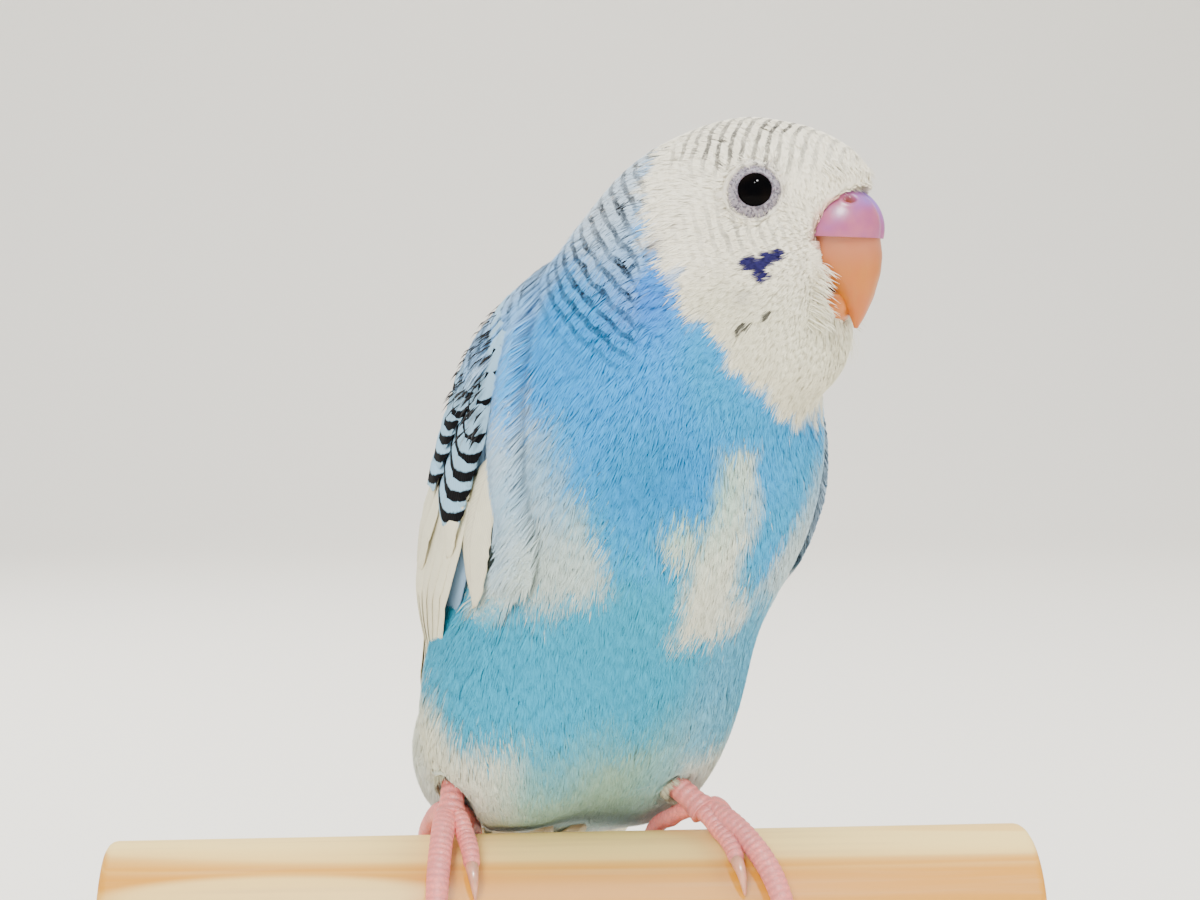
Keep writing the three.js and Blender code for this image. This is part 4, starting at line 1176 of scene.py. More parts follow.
FLIGHTS = (
    Tier(9, ((36, 86), (30, 112)), ((-32, 150), (-8, 152)), 5.4, (0.8, 2.5), 0.1, flight=True, bow=-5),
    Tier(9, ((37, 114), (38, 150)), ((1, 147), (12, 164)), 5.8, (0.9, 1.9), 0.09, flight=True, bow=-3),
    Tier(4, ((40, 148), (42, 165)), ((14, 158), (24, 168)), 5.6, (1.2, 2.1), 0.1, flight=True),
)
COVERTS = (
    Tier(8, ((45, 80), (40, 108)), ((20, 92), (14, 124)), 4.6, (1.2, 2.5), 0.06, flight=True),
    Tier(10, ((44, 98), (45, 164)), ((29, 104), (31, 167)), 4.8, (1.4, 2.6), 0.04, flight=True),
    Tier(2, ((52, 72), (49, 85)), ((32.6, 69), (36, 84)), 6.2, (0.6, 2.3), 0.12, flight=True, bow=3),
)
# Rows of barred coverts: level of the tips, length, width, how many; by level, the angles and heights of the rows
BAR_FRONT = (40, 50, 57, 60), (87, 87, 93, 100)
BAR_BACK = (40, 55, 60), (168, 162, 150)
BAR_RISE = (40, 50, 55, 60), (2.6, 1.8, 0.9, 0.3)
BAR_ROWS = (
    (40.3, 7.5, 8.2, 5), (43, 7.5, 8.2, 5), (45.6, 7.5, 8, 5), (48.2, 7, 8, 5), (50.6, 6, 6.4, 6), (52.8, 5.4, 4.8, 8),
    (54.6, 4.8, 4, 9), (56.2, 4.4, 3.4, 9), (57.6, 4.2, 3, 9), (59, 4, 2.8, 8), (60.2, 3.4, 2.6, 7),
)
WING_TOP = 63


def barred_tiers():
    """Rows of short coverts and scapulars, from the middle of the wing up to the shoulder."""
    tiers = []
    for row, (tip, long, wide, count) in enumerate(BAR_ROWS):
        front, back, rise = (np.interp(tip, *line) for line in (BAR_FRONT, BAR_BACK, BAR_RISE))
        slip = 2 if row % 2 and row > 4 else 0
        top = min(tip + long, WING_TOP)
        tiers.append(Tier(count, ((top, front + 3 + slip), (top, back + slip)),
                          ((tip, front + slip), (tip + 1.5, back + 2 + slip)), wide, (0.2, rise), -0.04,
                          ground="nape", barred=1.0))
    return tiers


def wing_feathers(pile, side, tier, rng, cells):
    """Adds a tier's vanes to the pile; cells counts the patches used on the OFBake map."""
    look = bpy.context.scene.plumage
    rows = LONG_ROWS if tier.flight else VANE_ROWS
    share = np.linspace(0, 1, rows) ** (0.85 if tier.flight else 0.8)
    edge = np.linspace(-1, 1, VANE_COLUMNS)
    row = np.linspace(0, 1, tier.count)[:, None]
    odd = rng.uniform(-1, 1, (tier.count, 1))
    root, tip = (blend(ends[0], ends[1], row) for ends in (tier.roots, tier.tips))
    level = blend(root[:, :1], tip[:, :1] + 0.6 * odd, share[None])
    angle = blend(root[:, 1:], tip[:, 1:] + 0.8 * rng.uniform(-1, 1, (tier.count, 1)), share[None])
    angle = angle + tier.bow * np.sin(np.pi * share)[None]
    _, radius = on_bed(side, level, angle, 0)
    half = tier.width / 2 * (1 + 0.06 * odd) * tier.shape(share)[None]
    jag = rng.uniform(-1, 1, (tier.count, rows, VANE_COLUMNS)) * 0.05 * np.abs(edge) ** 4
    offset = half[..., None] * (edge + jag)
    turn = angle[..., None] + np.degrees(offset / radius[..., None])
    rise = blend(tier.rise[0], tier.rise[1], np.minimum(1, share * 1.7)) * (LEFT_RISE if side < 0 else 1)
    rise = rise[None] + tier.step * np.arange(tier.count)[:, None]
    rise = rise * blend(0.35, 1, smooth(angle - wing_edge(level, CORE_LOWER), -6, 30))
    curve = rise[..., None] - 0.32 * edge ** 2 + tier.lean * edge + 0.1 * (np.abs(edge) < 0.1)
    thick = 0.16 * (1 - 0.6 * edge ** 2)
    upper, _ = on_bed(side, level[..., None], turn, WING_REST + curve)
    lower, _ = on_bed(side, level[..., None], turn, WING_REST + curve - thick)
    order = slice(None, None, -1) if side > 0 else slice(None)
    points = np.stack((upper[:, :, order], lower[:, :, order]), 1).reshape(tier.count, -1, 3)
    u, v = np.meshgrid((edge[order] + 1) / 2, share)
    vane = np.tile(np.stack((u, v), -1).reshape(-1, 2), (2, 1))
    cell = (cells[0] + np.arange(tier.count))[:, None]
    corner = np.concatenate((cell % MAP_CELLS, cell // MAP_CELLS), 1) / MAP_CELLS
    cells[0] += tier.count
    bake = corner[:, None] + (0.06 + 0.88 * vane[None]) / MAP_CELLS
    tint = np.tile(np.array(getattr(look, tier.ground)), (tier.count, 1)) * rng.uniform(0.9, 1.04, (tier.count, 1))
    each = points.shape[1]
    if tier.barred:
        tint = tint * (0.96, 0.99, 0.9)
    pile.add(points, plate_faces(rows, VANE_COLUMNS), tint=np.repeat(tint[:, None], each, 1),
             barred=np.full((tier.count, each), tier.barred), Vane=np.tile(vane, (tier.count, 1, 1)),
             OFBake=bake, barbs=np.full((tier.count, each), np.abs(tier.roots[0][0] - tier.tips[0][0]) * 1.6))


class BUDGIE_OT_wings(bpy.types.Operator):
    """Lay the flight feathers, coverts and scapulars of both folded wings"""
    bl_idname = "budgie.wings"
    bl_label = "Wings"

    def execute(self, context):
        look = context.scene.plumage
        levels, share = np.linspace(*CORE_LEVELS, CORE_ROWS)[:, None], np.linspace(0, 1, CORE_COLUMNS)
        angles = blend(wing_edge(levels, CORE_LOWER), wing_edge(levels, CORE_UPPER), share)
        for side, name in SIDES:
            rng = np.random.default_rng(WING_SEED + side)
            pile, cells = Pile(), [0]
            top, _ = on_bed(side, levels, angles, WING_REST - 0.5 + 0.9 * np.sin(np.pi * share))
            under, _ = on_bed(side, levels, angles, WING_REST - 0.7)
            order = slice(None, None, -1) if side > 0 else slice(None)
            core = np.stack((top[:, order], under[:, order]), 0).reshape(1, -1, 3)
            each = core.shape[1]
            corner = np.array((0.97, 0.97)) + 0.02 * (core[0] - core[0].min(0))[:, ::2] / 100
            # Painted shade: the plate under the vanes is tinted darker than the nape's blue, as the shade beneath the
            # wing that shows between vanes.
            ground = np.broadcast_to(np.array(look.nape) * 0.8, (1, each, 3))
            pile.add(core, plate_faces(CORE_ROWS, CORE_COLUMNS), tint=ground, barred=np.zeros((1, each)),
                     Vane=np.full((1, each, 2), 0.2), OFBake=corner[None], barbs=np.full((1, each), 8))
            for tier in (*FLIGHTS, *COVERTS, *barred_tiers()):
                wing_feathers(pile, side, tier, rng, cells)
            piece = pile.build("plumes_wing_" + name, ("Vane", "OFBake"))
            settle(piece, "plumage_cream", "wing_" + name, material=vane_finish())
        return {"FINISHED"}


# The tail's root along the trunk's axis and behind it, and its pairs of feathers from the middle out
TAIL_START = -20
TAIL_DEPTH = -8.8
TAIL_LENGTHS = (77.5, 59, 49, 41, 34, 28)
TAIL_LAYER = 0.5
TAIL_ROWS = 34
# The tail's map: long feathers in rows of six, coverts from the first free patch on
TAIL_CELLS = 6
TAIL_COVERT_CELL = 288
TAIL_COVERTS = (
    Tier(7, ((2, 140), (2, 220)), ((-27, 158), (-27, 202)), 5.4, (-0.4, 0.5), 0.0, "sky"),
    Tier(6, ((-8, 135), (-8, 225)), ((-38, 160), (-38, 200)), 5.2, (-0.4, 0.35), 0.0, "nape"),
    Tier(7, ((-2, -70), (-2, 70)), ((-30, -40), (-30, 40)), 5.4, (-0.4, 0.6), 0.0),
    Tier(6, ((-12, -75), (-12, 75)), ((-42, -35), (-42, 35)), 5.2, (-0.4, 0.3), 0.0),
)


class BUDGIE_OT_tail(bpy.types.Operator):
    """Lay the graduated tail feathers and the coverts at their root"""
    bl_idname = "budgie.tail"
    bl_label = "Tail"

    def execute(self, context):
        look = context.scene.plumage
        rng = np.random.default_rng(WING_SEED + 5)
        pile = Pile()
        share = np.linspace(0, 1, TAIL_ROWS) ** 0.9
        edge = np.linspace(-1, 1, VANE_COLUMNS)
        taper = flight_width(share) * blend(0.85, 1, np.sin(np.pi * share))
        for pair, long in enumerate(TAIL_LENGTHS):
            for side in (-1, 1):
                odd = rng.uniform(-0.8, 0.8)
                half = (3.6 - 0.1 * pair) * taper[:, None]
                spread = blend(0.55, 1.45, share)[:, None]
                x = side * (1 + pair * spread) + half * edge[None]
                arch = -0.35 * edge ** 2 + 0.12 * (np.abs(edge) < 0.1)
                depth = TAIL_DEPTH + pair * TAIL_LAYER + (0.25 if side > 0 else 0) + 0.03 * np.abs(x) - arch[None]
                level = np.broadcast_to((TAIL_START - (long + odd) * share)[:, None], x.shape)
                top = out_of(TRUNK, np.stack((x, depth, level), -1))
                under = out_of(TRUNK, np.stack((x, depth + 0.2 * (1 - 0.5 * edge ** 2), level), -1))
                points = np.stack((top, under), 0).reshape(1, -1, 3)
                each = points.shape[1]
                u, v = np.meshgrid((edge + 1) / 2, share)
                vane = np.tile(np.stack((u, v), -1).reshape(-1, 2), (2, 1))
                cell = pair * 2 + (side > 0)
                bake = (np.array((cell % TAIL_CELLS, cell // TAIL_CELLS)) + 0.05 + 0.9 * vane) / TAIL_CELLS * 0.45
                ground = blend(np.array(look.sky) * 0.8, np.array(look.nape), 0.35) if pair == 0 else look.cream
                tint = np.array(ground) * rng.uniform(0.93, 1.03)
                pile.add(points, plate_faces(TAIL_ROWS, VANE_COLUMNS), tint=np.broadcast_to(tint, (1, each, 3)),
                         barred=np.zeros((1, each)), Vane=vane[None], OFBake=bake[None],
                         barbs=np.full((1, each), long * 1.3))
        cells = [TAIL_COVERT_CELL]
        for tier in TAIL_COVERTS:
            wing_feathers(pile, 1, tier, rng, cells)
        settle(pile.build("plumes_tail", ("Vane", "OFBake")), "plumage_cream", "tail", material=vane_finish())
        return {"FINISHED"}


# Eyes, cere and bill. A lid is a ring whose outline is a row of radii and heights; its colour changes between
# the radii LID_EDGE.
LID_SIDES = 96
LID_EDGE = (1.86, 2.15)
LID_PROFILE = ((1.8, 2.62), (1.84, 2.74), (1.92, 2.82), (2.04, 2.8), (2.18, 2.66), (2.4, 2.38), (2.8, 1.95),
               (3.2, 1.5), (3.2, 1.2), (2.9, 1.0), (2.4, 1.4))


class BUDGIE_OT_eyes(bpy.types.Operator):
    """Set the dark glossy eyes in rings of bare skin"""
    bl_idname = "budgie.eyes"
    bl_label = "Eyes"

    def execute(self, context):
        look = context.scene.head
        wet = Finish("eye", Roughness=0.03, IOR=1.09)
        glow = wet.step(wet.noise(260, 2), 0.35, 0.75)
        wet.paint(wet.mix(wet.times(glow, 0.5), tuple(look.eye), (0.012, 0.007, 0.004)))
        bare = Finish("eye_ring", Roughness=0.55, Subsurface_Weight=0.15, Subsurface_Scale=0.5 * MM)
        grain = bare.noise(3000, 3)
        beads = bare.mix(bare.step(grain, 0.42, 0.6), tuple(look.ring), tuple(0.45 * c for c in look.ring))
        edge = bare.mix(bare.step(grain, 0.46, 0.6), (0.3, 0.27, 0.3), (0.1, 0.085, 0.11))
        bare.paint(bare.mix(bare.attribute("rim"), beads, edge))
        bare.bump(grain, 0.6, 0.08)
        for side, centre, axis in eyes():
            name = "right" if side > 0 else "left"
            low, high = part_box("eye_" + name)
            ball = sphere(72, 48)
            reshape(ball, centre + places(ball) * max(high - low) / 2 / MM)
            shade(ball)
            title(ball, "eyeball_" + name)
            settle(ball, "eye", "eye_" + name, material=wet.material)
            rng = np.random.default_rng(3 + side)
            turn = np.linspace(0, 2 * np.pi, LID_SIDES, endpoint=False)
            profile = np.array(LID_PROFILE)
            beads = 0.05 * np.sin(np.arange(len(profile)) * 2.1)[:, None] * np.sin(turn * 30)
            radius = profile[:, :1] * (1 + 0.012 * np.sin(2 * turn + 0.6)) + beads * 0.5
            height = profile[:, 1:] + beads + 0.03 * rng.normal(size=beads.shape)
            points = centre + axis * height[..., None] + spokes(axis, HEAD[1][2], turn) * radius[..., None]
            faces = [(i * LID_SIDES + k, i * LID_SIDES + (k + 1) % LID_SIDES,
                      (i + 1) % len(profile) * LID_SIDES + (k + 1) % LID_SIDES, (i + 1) % len(profile) * LID_SIDES + k)
                     for i in range(len(profile)) for k in range(LID_SIDES)]
            pile = Pile()
            outer = np.repeat(smooth(profile[:, 0], *LID_EDGE), LID_SIDES)[None]
            pile.add(points.reshape(1, -1, 3), faces, rim=outer)
            lid = pile.build("lids_" + name)
            edit(lid, outward())
            settle(lid, "cere_skin", material=bare.material)
        return {"FINISHED"}


CERE_LOWEST = -2.9
NOSTRIL = np.array((3.5, 11.8, 1.2))
# The upper bill by levels from its tip up: its front line, its back line and half its width
BILL_RINGS, BILL_SIDES = 44, 40
BILL_TIP = -12.9
BILL_TOP = -2.6
BILL_FRONT = ((-12.9, -12.5, -11.5, -9.4, -6.8, -4.8, -2.6), (12.2, 12.5, 13.0, 13.8, 14.3, 14.4, 14.0))
BILL_BACK = ((-12.9, -11.6, -9.5, -8.4, -7.4, -6.8, -2.6), (11.9, 11.5, 10.3, 9.0, 6.2, 4.8, 4.2))
BILL_HALF = ((-12.9, -12.5, -11.5, -9.4, -6.8, -2.6), (0.12, 0.5, 1.1, 2.4, 3.6, 4.5))
# Radii and middles of the lower bill and the mouth's lining
LOWER_BILL = (3.1, 2.8, 2.7), (0, 8.9, -10.1)
GAPE = (2.3, 2.3, 1.5), (0, 9.3, -8.6)


class BUDGIE_OT_bill(bpy.types.Operator):
    """Shape the cere with its nostrils and both halves of the bill"""
    bl_idname = "budgie.bill"
    bl_label = "Cere and bill"

    def execute(self, context):
        look = context.scene.head
        soft = Finish("cere", Roughness=0.4, Subsurface_Weight=0.25, Subsurface_Scale=1.2 * MM, Coat_Weight=0.1,
                      Coat_Roughness=0.35)
        vein = soft.noise(300, 3)
        pink = soft.mix(soft.step(vein, 0.3, 0.75), tuple(look.cere), (0.4, 0.095, 0.155))
        hue = soft.mix(soft.step(soft.noise(120, 2), 0.45, 0.7), pink, (0.24, 0.115, 0.46))
        soft.paint(soft.mix(soft.attribute("deep"), hue, (0.3, 0.075, 0.02)))
        soft.bump(soft.noise(2600, 3), 0.25, 0.05)
        cere = sphere(160, 110)
        out = places(cere)
        local = out * CERE_RADII + CERE_CENTRE
        groove = hill(local[:, 0], 0.7) * smooth(out[:, 1] + out[:, 2], 0.2, 1)
        local -= out * (0.22 * groove)[:, None]
        deep = np.zeros(len(local))
        for side in (-1, 1):
            gap = np.linalg.norm((local - NOSTRIL * (side, 1, 1)) / (1.8, 1.5, 1.05), axis=1)
            local += out * (0.16 * hill(gap - 0.75, 0.35))[:, None]
            local -= out * (0.95 * (1 - smooth(gap, 0.15, 0.55)))[:, None]
            deep = np.maximum(deep, 1 - smooth(gap, 0.2, 0.62))
        reshape(cere, out_of(HEAD, local))
        layer = cere.data.attributes.new("deep", "FLOAT", "POINT")
        layer.data.foreach_set("value", deep.astype(np.float32))
        cut = {"plane_co": out_of(HEAD, (0, 0, CERE_LOWEST)) * MM, "plane_no": HEAD[1][2]}
        edit(cere, (bpy.ops.mesh.bisect, {**cut, "clear_inner": True, "use_fill": True}), outward())
        shade(cere, 50)
        title(cere, "cere_soft")
        settle(cere, "cere_skin", "cere", material=soft.material)

        horn = Finish("bill", Roughness=0.38, Subsurface_Weight=0.3, Subsurface_Scale=1.5 * MM, Coat_Weight=0.15,
                      Coat_Roughness=0.2)
        layers = horn.noise(500, 4, horn.stretched(1, 1, 0.25))
        peach = horn.mix(horn.step(layers, 0.35, 0.7), tuple(look.bill), (0.41, 0.12, 0.004))
        horn.paint(horn.mix(horn.step(horn.attribute("rise"), 0.55, 1.0), peach, (0.42, 0.135, 0.06)))
        horn.bump(layers, 0.2, 0.06)
        level = np.linspace(BILL_TOP, BILL_TIP, BILL_RINGS)
        lines = [np.pad(np.interp(level, *marks), 2, mode="edge") for marks in (BILL_FRONT, BILL_BACK, BILL_HALF)]
        front, back, half = (np.convolve(line, np.array((1, 2, 3, 2, 1)) / 9, "valid") for line in lines)
        turn = np.linspace(0, 2 * np.pi, BILL_SIDES, endpoint=False)
        keel = 1 + 0.05 * np.cos(turn) ** 8 * (np.cos(turn) > 0)
        y = (front + back)[:, None] / 2 + (front - back)[:, None] / 2 * np.cos(turn) * keel
        full = np.where(np.cos(turn) < 0, 0.4, 0.9)
        x = half[:, None] * np.sign(np.sin(turn)) * np.abs(np.sin(turn)) ** full
        edge = 0.35 * np.sin(turn) ** 2 * hill(level[:, None] + 8.6, 1.6)
        z = np.broadcast_to(level[:, None], x.shape) + edge
        pile = Pile()
        points = out_of(HEAD, np.stack((x, y, z), -1)).reshape(1, -1, 3)
        tall = np.repeat((level - BILL_TIP) / (BILL_TOP - BILL_TIP), BILL_SIDES)[None]
        pile.add(points, tube_faces(BILL_RINGS, BILL_SIDES), rise=tall)
        settle(pile.build("bill_upper_horn"), "bill_horn", "bill_upper", material=horn.material)

        low = Finish("lower_bill", Roughness=0.35, Subsurface_Weight=0.3, Subsurface_Scale=1.2 * MM)
        grain = low.noise(600, 3)
        low.paint(low.mix(low.step(grain, 0.3, 0.7), tuple(look.bill), (0.5, 0.15, 0.02)))
        low.bump(grain, 0.2, 0.05)
        scoop = sphere(64, 48)
        ball = places(scoop)
        ball[:, 2] -= smooth(ball[:, 2], 0.2, 0.9) * 0.55 * (1 - ball[:, 0] ** 2)
        reshape(scoop, out_of(HEAD, ball * LOWER_BILL[0] + LOWER_BILL[1]))
        shade(scoop)
        title(scoop, "bill_lower_horn")
        settle(scoop, "bill_horn", "bill_lower", material=low.material)

        # The mouth's lining is dark red: partly its own red, partly painted shade for the shaded slit at the mouth's
        # corner.
        flesh = Finish("mouth", Roughness=0.7, Specular_IOR_Level=0.1)
        flesh.paint(flesh.mix(flesh.step(flesh.noise(900, 3), 0.3, 0.7), (0.12, 0.012, 0.008), (0.05, 0.006, 0.005)))
        gape = sphere(48, 32)
        reshape(gape, out_of(HEAD, places(gape) * GAPE[0] + GAPE[1]))
        shade(gape)
        title(gape, "gape")
        settle(gape, "bill_horn", material=flesh.material)
        return {"FINISHED"}


# Feet: a toe is a path along the perch and over it; sizes match the solids.
TOES = {
    "right": {"hock": (-14.3, 7.4, 9.5), "palm": (-15.4, -0.6, 2.7), "toes": (
        ((-14.2, -12.2), (-8, -52), -74, 1.25), ((-14.4, -12.9), (6, 42), 60, 1.3),
        ((-16, -17.3), (6, 84), 108, 1.6), ((-16.4, -18.6), (-8, -70), -94, 1.5))},
    "left": {"hock": (9.8, 6.4, 7), "palm": (16.2, -0.4, 2.7), "toes": (
        ((15, 10.6), (-8, -52), -74, 1.25), ((16.2, 19.2), (6, 42), 60, 1.3),
        ((17.6, 24.8), (6, 84), 108, 1.6), ((17.8, 21.4), (-8, -70), -94, 1.5))},
}
TOE_SPLAY = 1.8
TARSUS_RADIUS = 1.7
CLAW_RADIUS = 0.8
CLAW_TIP_RADIUS = 0.16
# Rings and sides of a shank, a toe on the perch and a claw
SHANK_RINGS, SHANK_SIDES = 60, 22
TOE_RINGS, TOE_SIDES = 110, 20
CLAW_RINGS, CLAW_SIDES = 26, 16


def on_perch(x, degrees, height):
    distance, turn = PERCH_RADIUS + height, np.radians(degrees)
    return np.stack((x, -distance * np.sin(turn), PERCH_AXIS_Z + distance * np.cos(turn)), -1)


def from_perch(path):
    """The way out from the perch's axis at each point."""
    return unit((path - (0, 0, PERCH_AXIS_Z)) * (0, 1, 1))


def sweep(path, radii, sides, up):
    """Rings along a path: points (rings, sides, 3) and the angle of each side from up."""
    along = unit(np.gradient(path, axis=0))
    up = unit(up - (up * along).sum(1, keepdims=True) * along)
    side = np.cross(along, up)
    turn = np.linspace(0, 2 * np.pi, sides, endpoint=False)
    ring = up[:, None] * np.cos(turn)[:, None] + side[:, None] * np.sin(turn)[:, None]
    return path[:, None] + ring * (radii[..., None] if radii.ndim == 2 else radii[:, None, None]), turn


def scuted(path, radius, scute, sides, up):
    """A toe or shank whose upper side carries overlapping scutes and whose sole has pads."""
    run = np.concatenate(([0], np.cumsum(np.linalg.norm(np.diff(path, axis=0), axis=1))))
    turn = np.linspace(0, 2 * np.pi, sides, endpoint=False)
    top = np.clip(np.cos(turn) + 0.35, 0, 1) ** 0.7
    saw = (run / scute) % 1
    plate = np.clip(np.minimum(saw / 0.55, (1 - saw) / 0.25), 0, 1) ** 0.5
    pad = 0.5 + 0.5 * np.cos(2 * np.pi * run / 3.6)
    under = np.clip(-np.cos(turn), 0, 1)
    radii = radius[:, None] * (0.85 + 0.1 * plate[:, None] * top + 0.05 * pad[:, None] * under)
    points, _ = sweep(path, radii, sides, up)
    return points, (1 - plate)[:, None] * top


def toe_path(palm, spec, rings):
    (x0, x1), (start, end), _, radius = spec
    share = np.linspace(0, 1, rings)
    radii = radius - radius * 0.18 * share ** 3
    height = GAP + 0.1 + blend(2.4, radii, np.minimum(1, share * 3))
    path = on_perch(blend(x0, x1, 1 - (1 - share) ** TOE_SPLAY), blend(start, end, share), height)
    lead = blend(palm[None], path[:1], np.linspace(0, 1, 8)[:-1, None])
    full = np.concatenate((lead, path))
    radii = np.concatenate((np.full(7, radius), radii))
    radii[-9:] *= np.array((0.995, 0.98, 0.96, 0.93, 0.88, 0.81, 0.72, 0.6, 0.4))
    return full, radii


class BUDGIE_OT_feet(bpy.types.Operator):
    """Shape the scaled shanks and toes, and the curved claws"""
    bl_idname = "budgie.feet"
    bl_label = "Feet and claws"

    def execute(self, context):
        look = context.scene.legs
        skin = Finish("foot_skin", Roughness=0.5, Subsurface_Weight=0.25, Subsurface_Scale=1.0 * MM,
                      Specular_IOR_Level=0.4)
        cells = skin.node("TexVoronoi", {"feature": "DISTANCE_TO_EDGE"}, Scale=1500, Vector=skin.place())
        crack = skin.minus(skin.step(cells.outputs["Distance"], 0.0, 0.14), skin.times(skin.attribute("seam"), 0.9),
                           clamp=True)
        flush = skin.mix(skin.step(skin.noise(240, 3), 0.35, 0.7), tuple(look.skin), (0.66, 0.2, 0.18))
        pale = skin.mix(skin.times(skin.attribute("seam"), 0.65), flush, (0.5, 0.13, 0.12))
        tone = skin.mix(skin.plus(skin.times(crack, 0.35), 0.65), (0.42, 0.17, 0.16), pale)
        skin.paint(skin.mix(skin.attribute("hot"), tone, (0.32, 0.09, 0.06)))
        skin.bump(crack, 0.6, 0.06)
        horn = Finish("claw_horn", Roughness=0.3, Subsurface_Weight=0.25, Subsurface_Scale=0.6 * MM, Coat_Weight=0.2)
        streak = horn.noise(700, 3)
        horn.paint(horn.mix(horn.step(streak, 0.3, 0.7), tuple(look.claw), (0.46, 0.22, 0.14)))
        horn.bump(streak, 0.15, 0.03)
        for name, foot in TOES.items():
            hock, palm = np.array(foot["hock"]) + PERCH_TOP, np.array(foot["palm"]) + PERCH_TOP
            pile = Pile()
            share = np.linspace(0, 1, SHANK_RINGS)[:, None]
            middle = blend(hock, palm, 0.6) + (0, 0, 0.8)
            path = blend(blend(hock, middle, share), blend(middle, palm, share), share)
            radii = TARSUS_RADIUS * (1 + 0.12 * hill(share[:, 0] - 0.05, 0.15) + 0.25 * smooth(share[:, 0], 0.75, 1))
            front = np.tile((0, -0.7, 0.7), (SHANK_RINGS, 1))
            points, seam = scuted(path, radii, look.scute / MM * 1.3, SHANK_SIDES, front)
            hot = np.repeat(0.85 * (1 - smooth(share[:, 0], 0.3, 0.75)), SHANK_SIDES)[None]
            pile.add(points.reshape(1, -1, 3), tube_faces(SHANK_RINGS, SHANK_SIDES), hot=hot,
                     seam=seam.reshape(1, -1))
            for number, spec in enumerate(foot["toes"], 1):
                path, radii = toe_path(palm, spec, TOE_RINGS)
                points, seam = scuted(path, radii, look.scute / MM, TOE_SIDES, from_perch(path))
                pile.add(points.reshape(1, -1, 3), tube_faces(len(path), TOE_SIDES), hot=np.zeros((1, seam.size)),
                         seam=seam.reshape(1, -1))
                (_, x1), turns, tip, radius = spec
                sign = np.sign(tip)
                slope = 0.5 * (x1 - spec[0][0]) / (turns[1] - turns[0])
                share = np.linspace(-0.12, 1, CLAW_RINGS)
                degrees = blend(turns[1] + sign, tip, share)
                rise = blend(radius * 1.25, CLAW_TIP_RADIUS + 0.25, np.abs(share) ** 1.5)
                arch = 0.5 * np.sin(np.pi * share)
                claw_path = on_perch(x1 + slope * (degrees - turns[1]), degrees, GAP + rise + arch)
                thin = blend(CLAW_RADIUS, CLAW_TIP_RADIUS, np.abs(share) ** 1.3)
                ring, _ = sweep(claw_path, thin, CLAW_SIDES, from_perch(claw_path))
                nail = Pile()
                nail.add(ring.reshape(1, -1, 3), tube_faces(CLAW_RINGS, CLAW_SIDES))
                piece = nail.build(f"nail_{name}_{number}")
                settle(piece, "claw_horn", f"claw_{name}_{number}", material=horn.material)
            settle(pile.build(f"scaled_foot_{name}"), "foot_skin", f"foot_{name}", material=skin.material)
        return {"FINISHED"}


# Perch and stand. The grain's bands lie nearly level; a pale lens beside the right foot breaks one of them. LENS is
# its middle and size along the dowel, then upwards, in metres.
GRAIN_START = 85.3
GRAIN_PITCH = 13.2
FINE_PITCH = 1.9
LENS = ((-0.037, 0.022), (0.0885, 0.0022))
ROD_RADIUS = 3


def wood_finish():
    look = bpy.context.scene.stand
    finish = Finish("dowel", Roughness=0.52, Specular_IOR_Level=0.35)
    slow = finish.times(finish.minus(finish.noise(60, 2, finish.stretched(0.05, 1, 1)), 0.5), 0.006)
    split = finish.node("SeparateXYZ", Vector=finish.place())
    x, z = split.outputs[0], split.outputs[2]
    height = finish.plus(finish.plus(z, finish.times(x, 0.012)), slow)
    wave = finish.wave(finish.times(finish.minus(height, GRAIN_START * MM), 1 / (GRAIN_PITCH * MM)))
    fine = finish.wave(finish.times(height, 1 / (FINE_PITCH * MM)))
    late = finish.plus(finish.step(wave, -0.3, 0.5), finish.times(finish.step(fine, 0.4, 1), 0.3), clamp=True)
    squares = [finish.math("POWER", finish.math("DIVIDE", finish.minus(value, middle), size), 2)
               for value, (middle, size) in zip((x, z), LENS)]
    late = finish.times(late, finish.plus(finish.times(finish.step(finish.plus(*squares), 0.5, 1.1), 0.8), 0.2))
    fibre = finish.noise(900, 4, finish.stretched(0.035, 1, 1))
    board = finish.mix(late, tuple(look.pale_wood), tuple(look.dark_wood))
    finish.paint(finish.mix(finish.times(finish.step(fibre, 0.45, 0.8), 0.35), board, (0.55, 0.33, 0.14)))
    finish.bump(fibre, 0.18, 0.08)
    return finish.material


class BUDGIE_OT_perch(bpy.types.Operator):
    """Turn the pine dowel that the bird grips"""
    bl_idname = "budgie.perch"
    bl_label = "Perch"

    def execute(self, context):
        deselect()
        bpy.ops.mesh.primitive_cylinder_add(
            vertices=128, radius=PERCH_RADIUS * MM, depth=PERCH_LENGTH * MM,
            location=(0, 0, PERCH_AXIS_Z * MM), rotation=(0, math.pi / 2, 0))
        dowel = context.view_layer.objects.active
        bpy.ops.object.transform_apply(location=True, rotation=True, scale=True)
        modify(dowel, "BEVEL", width=1.2 * MM, segments=4, limit_method="ANGLE", angle_limit=math.radians(60))
        shade(dowel, 35)
        title(dowel, "dowel")
        settle(dowel, "perch_wood", "perch", material=wood_finish())
        return {"FINISHED"}


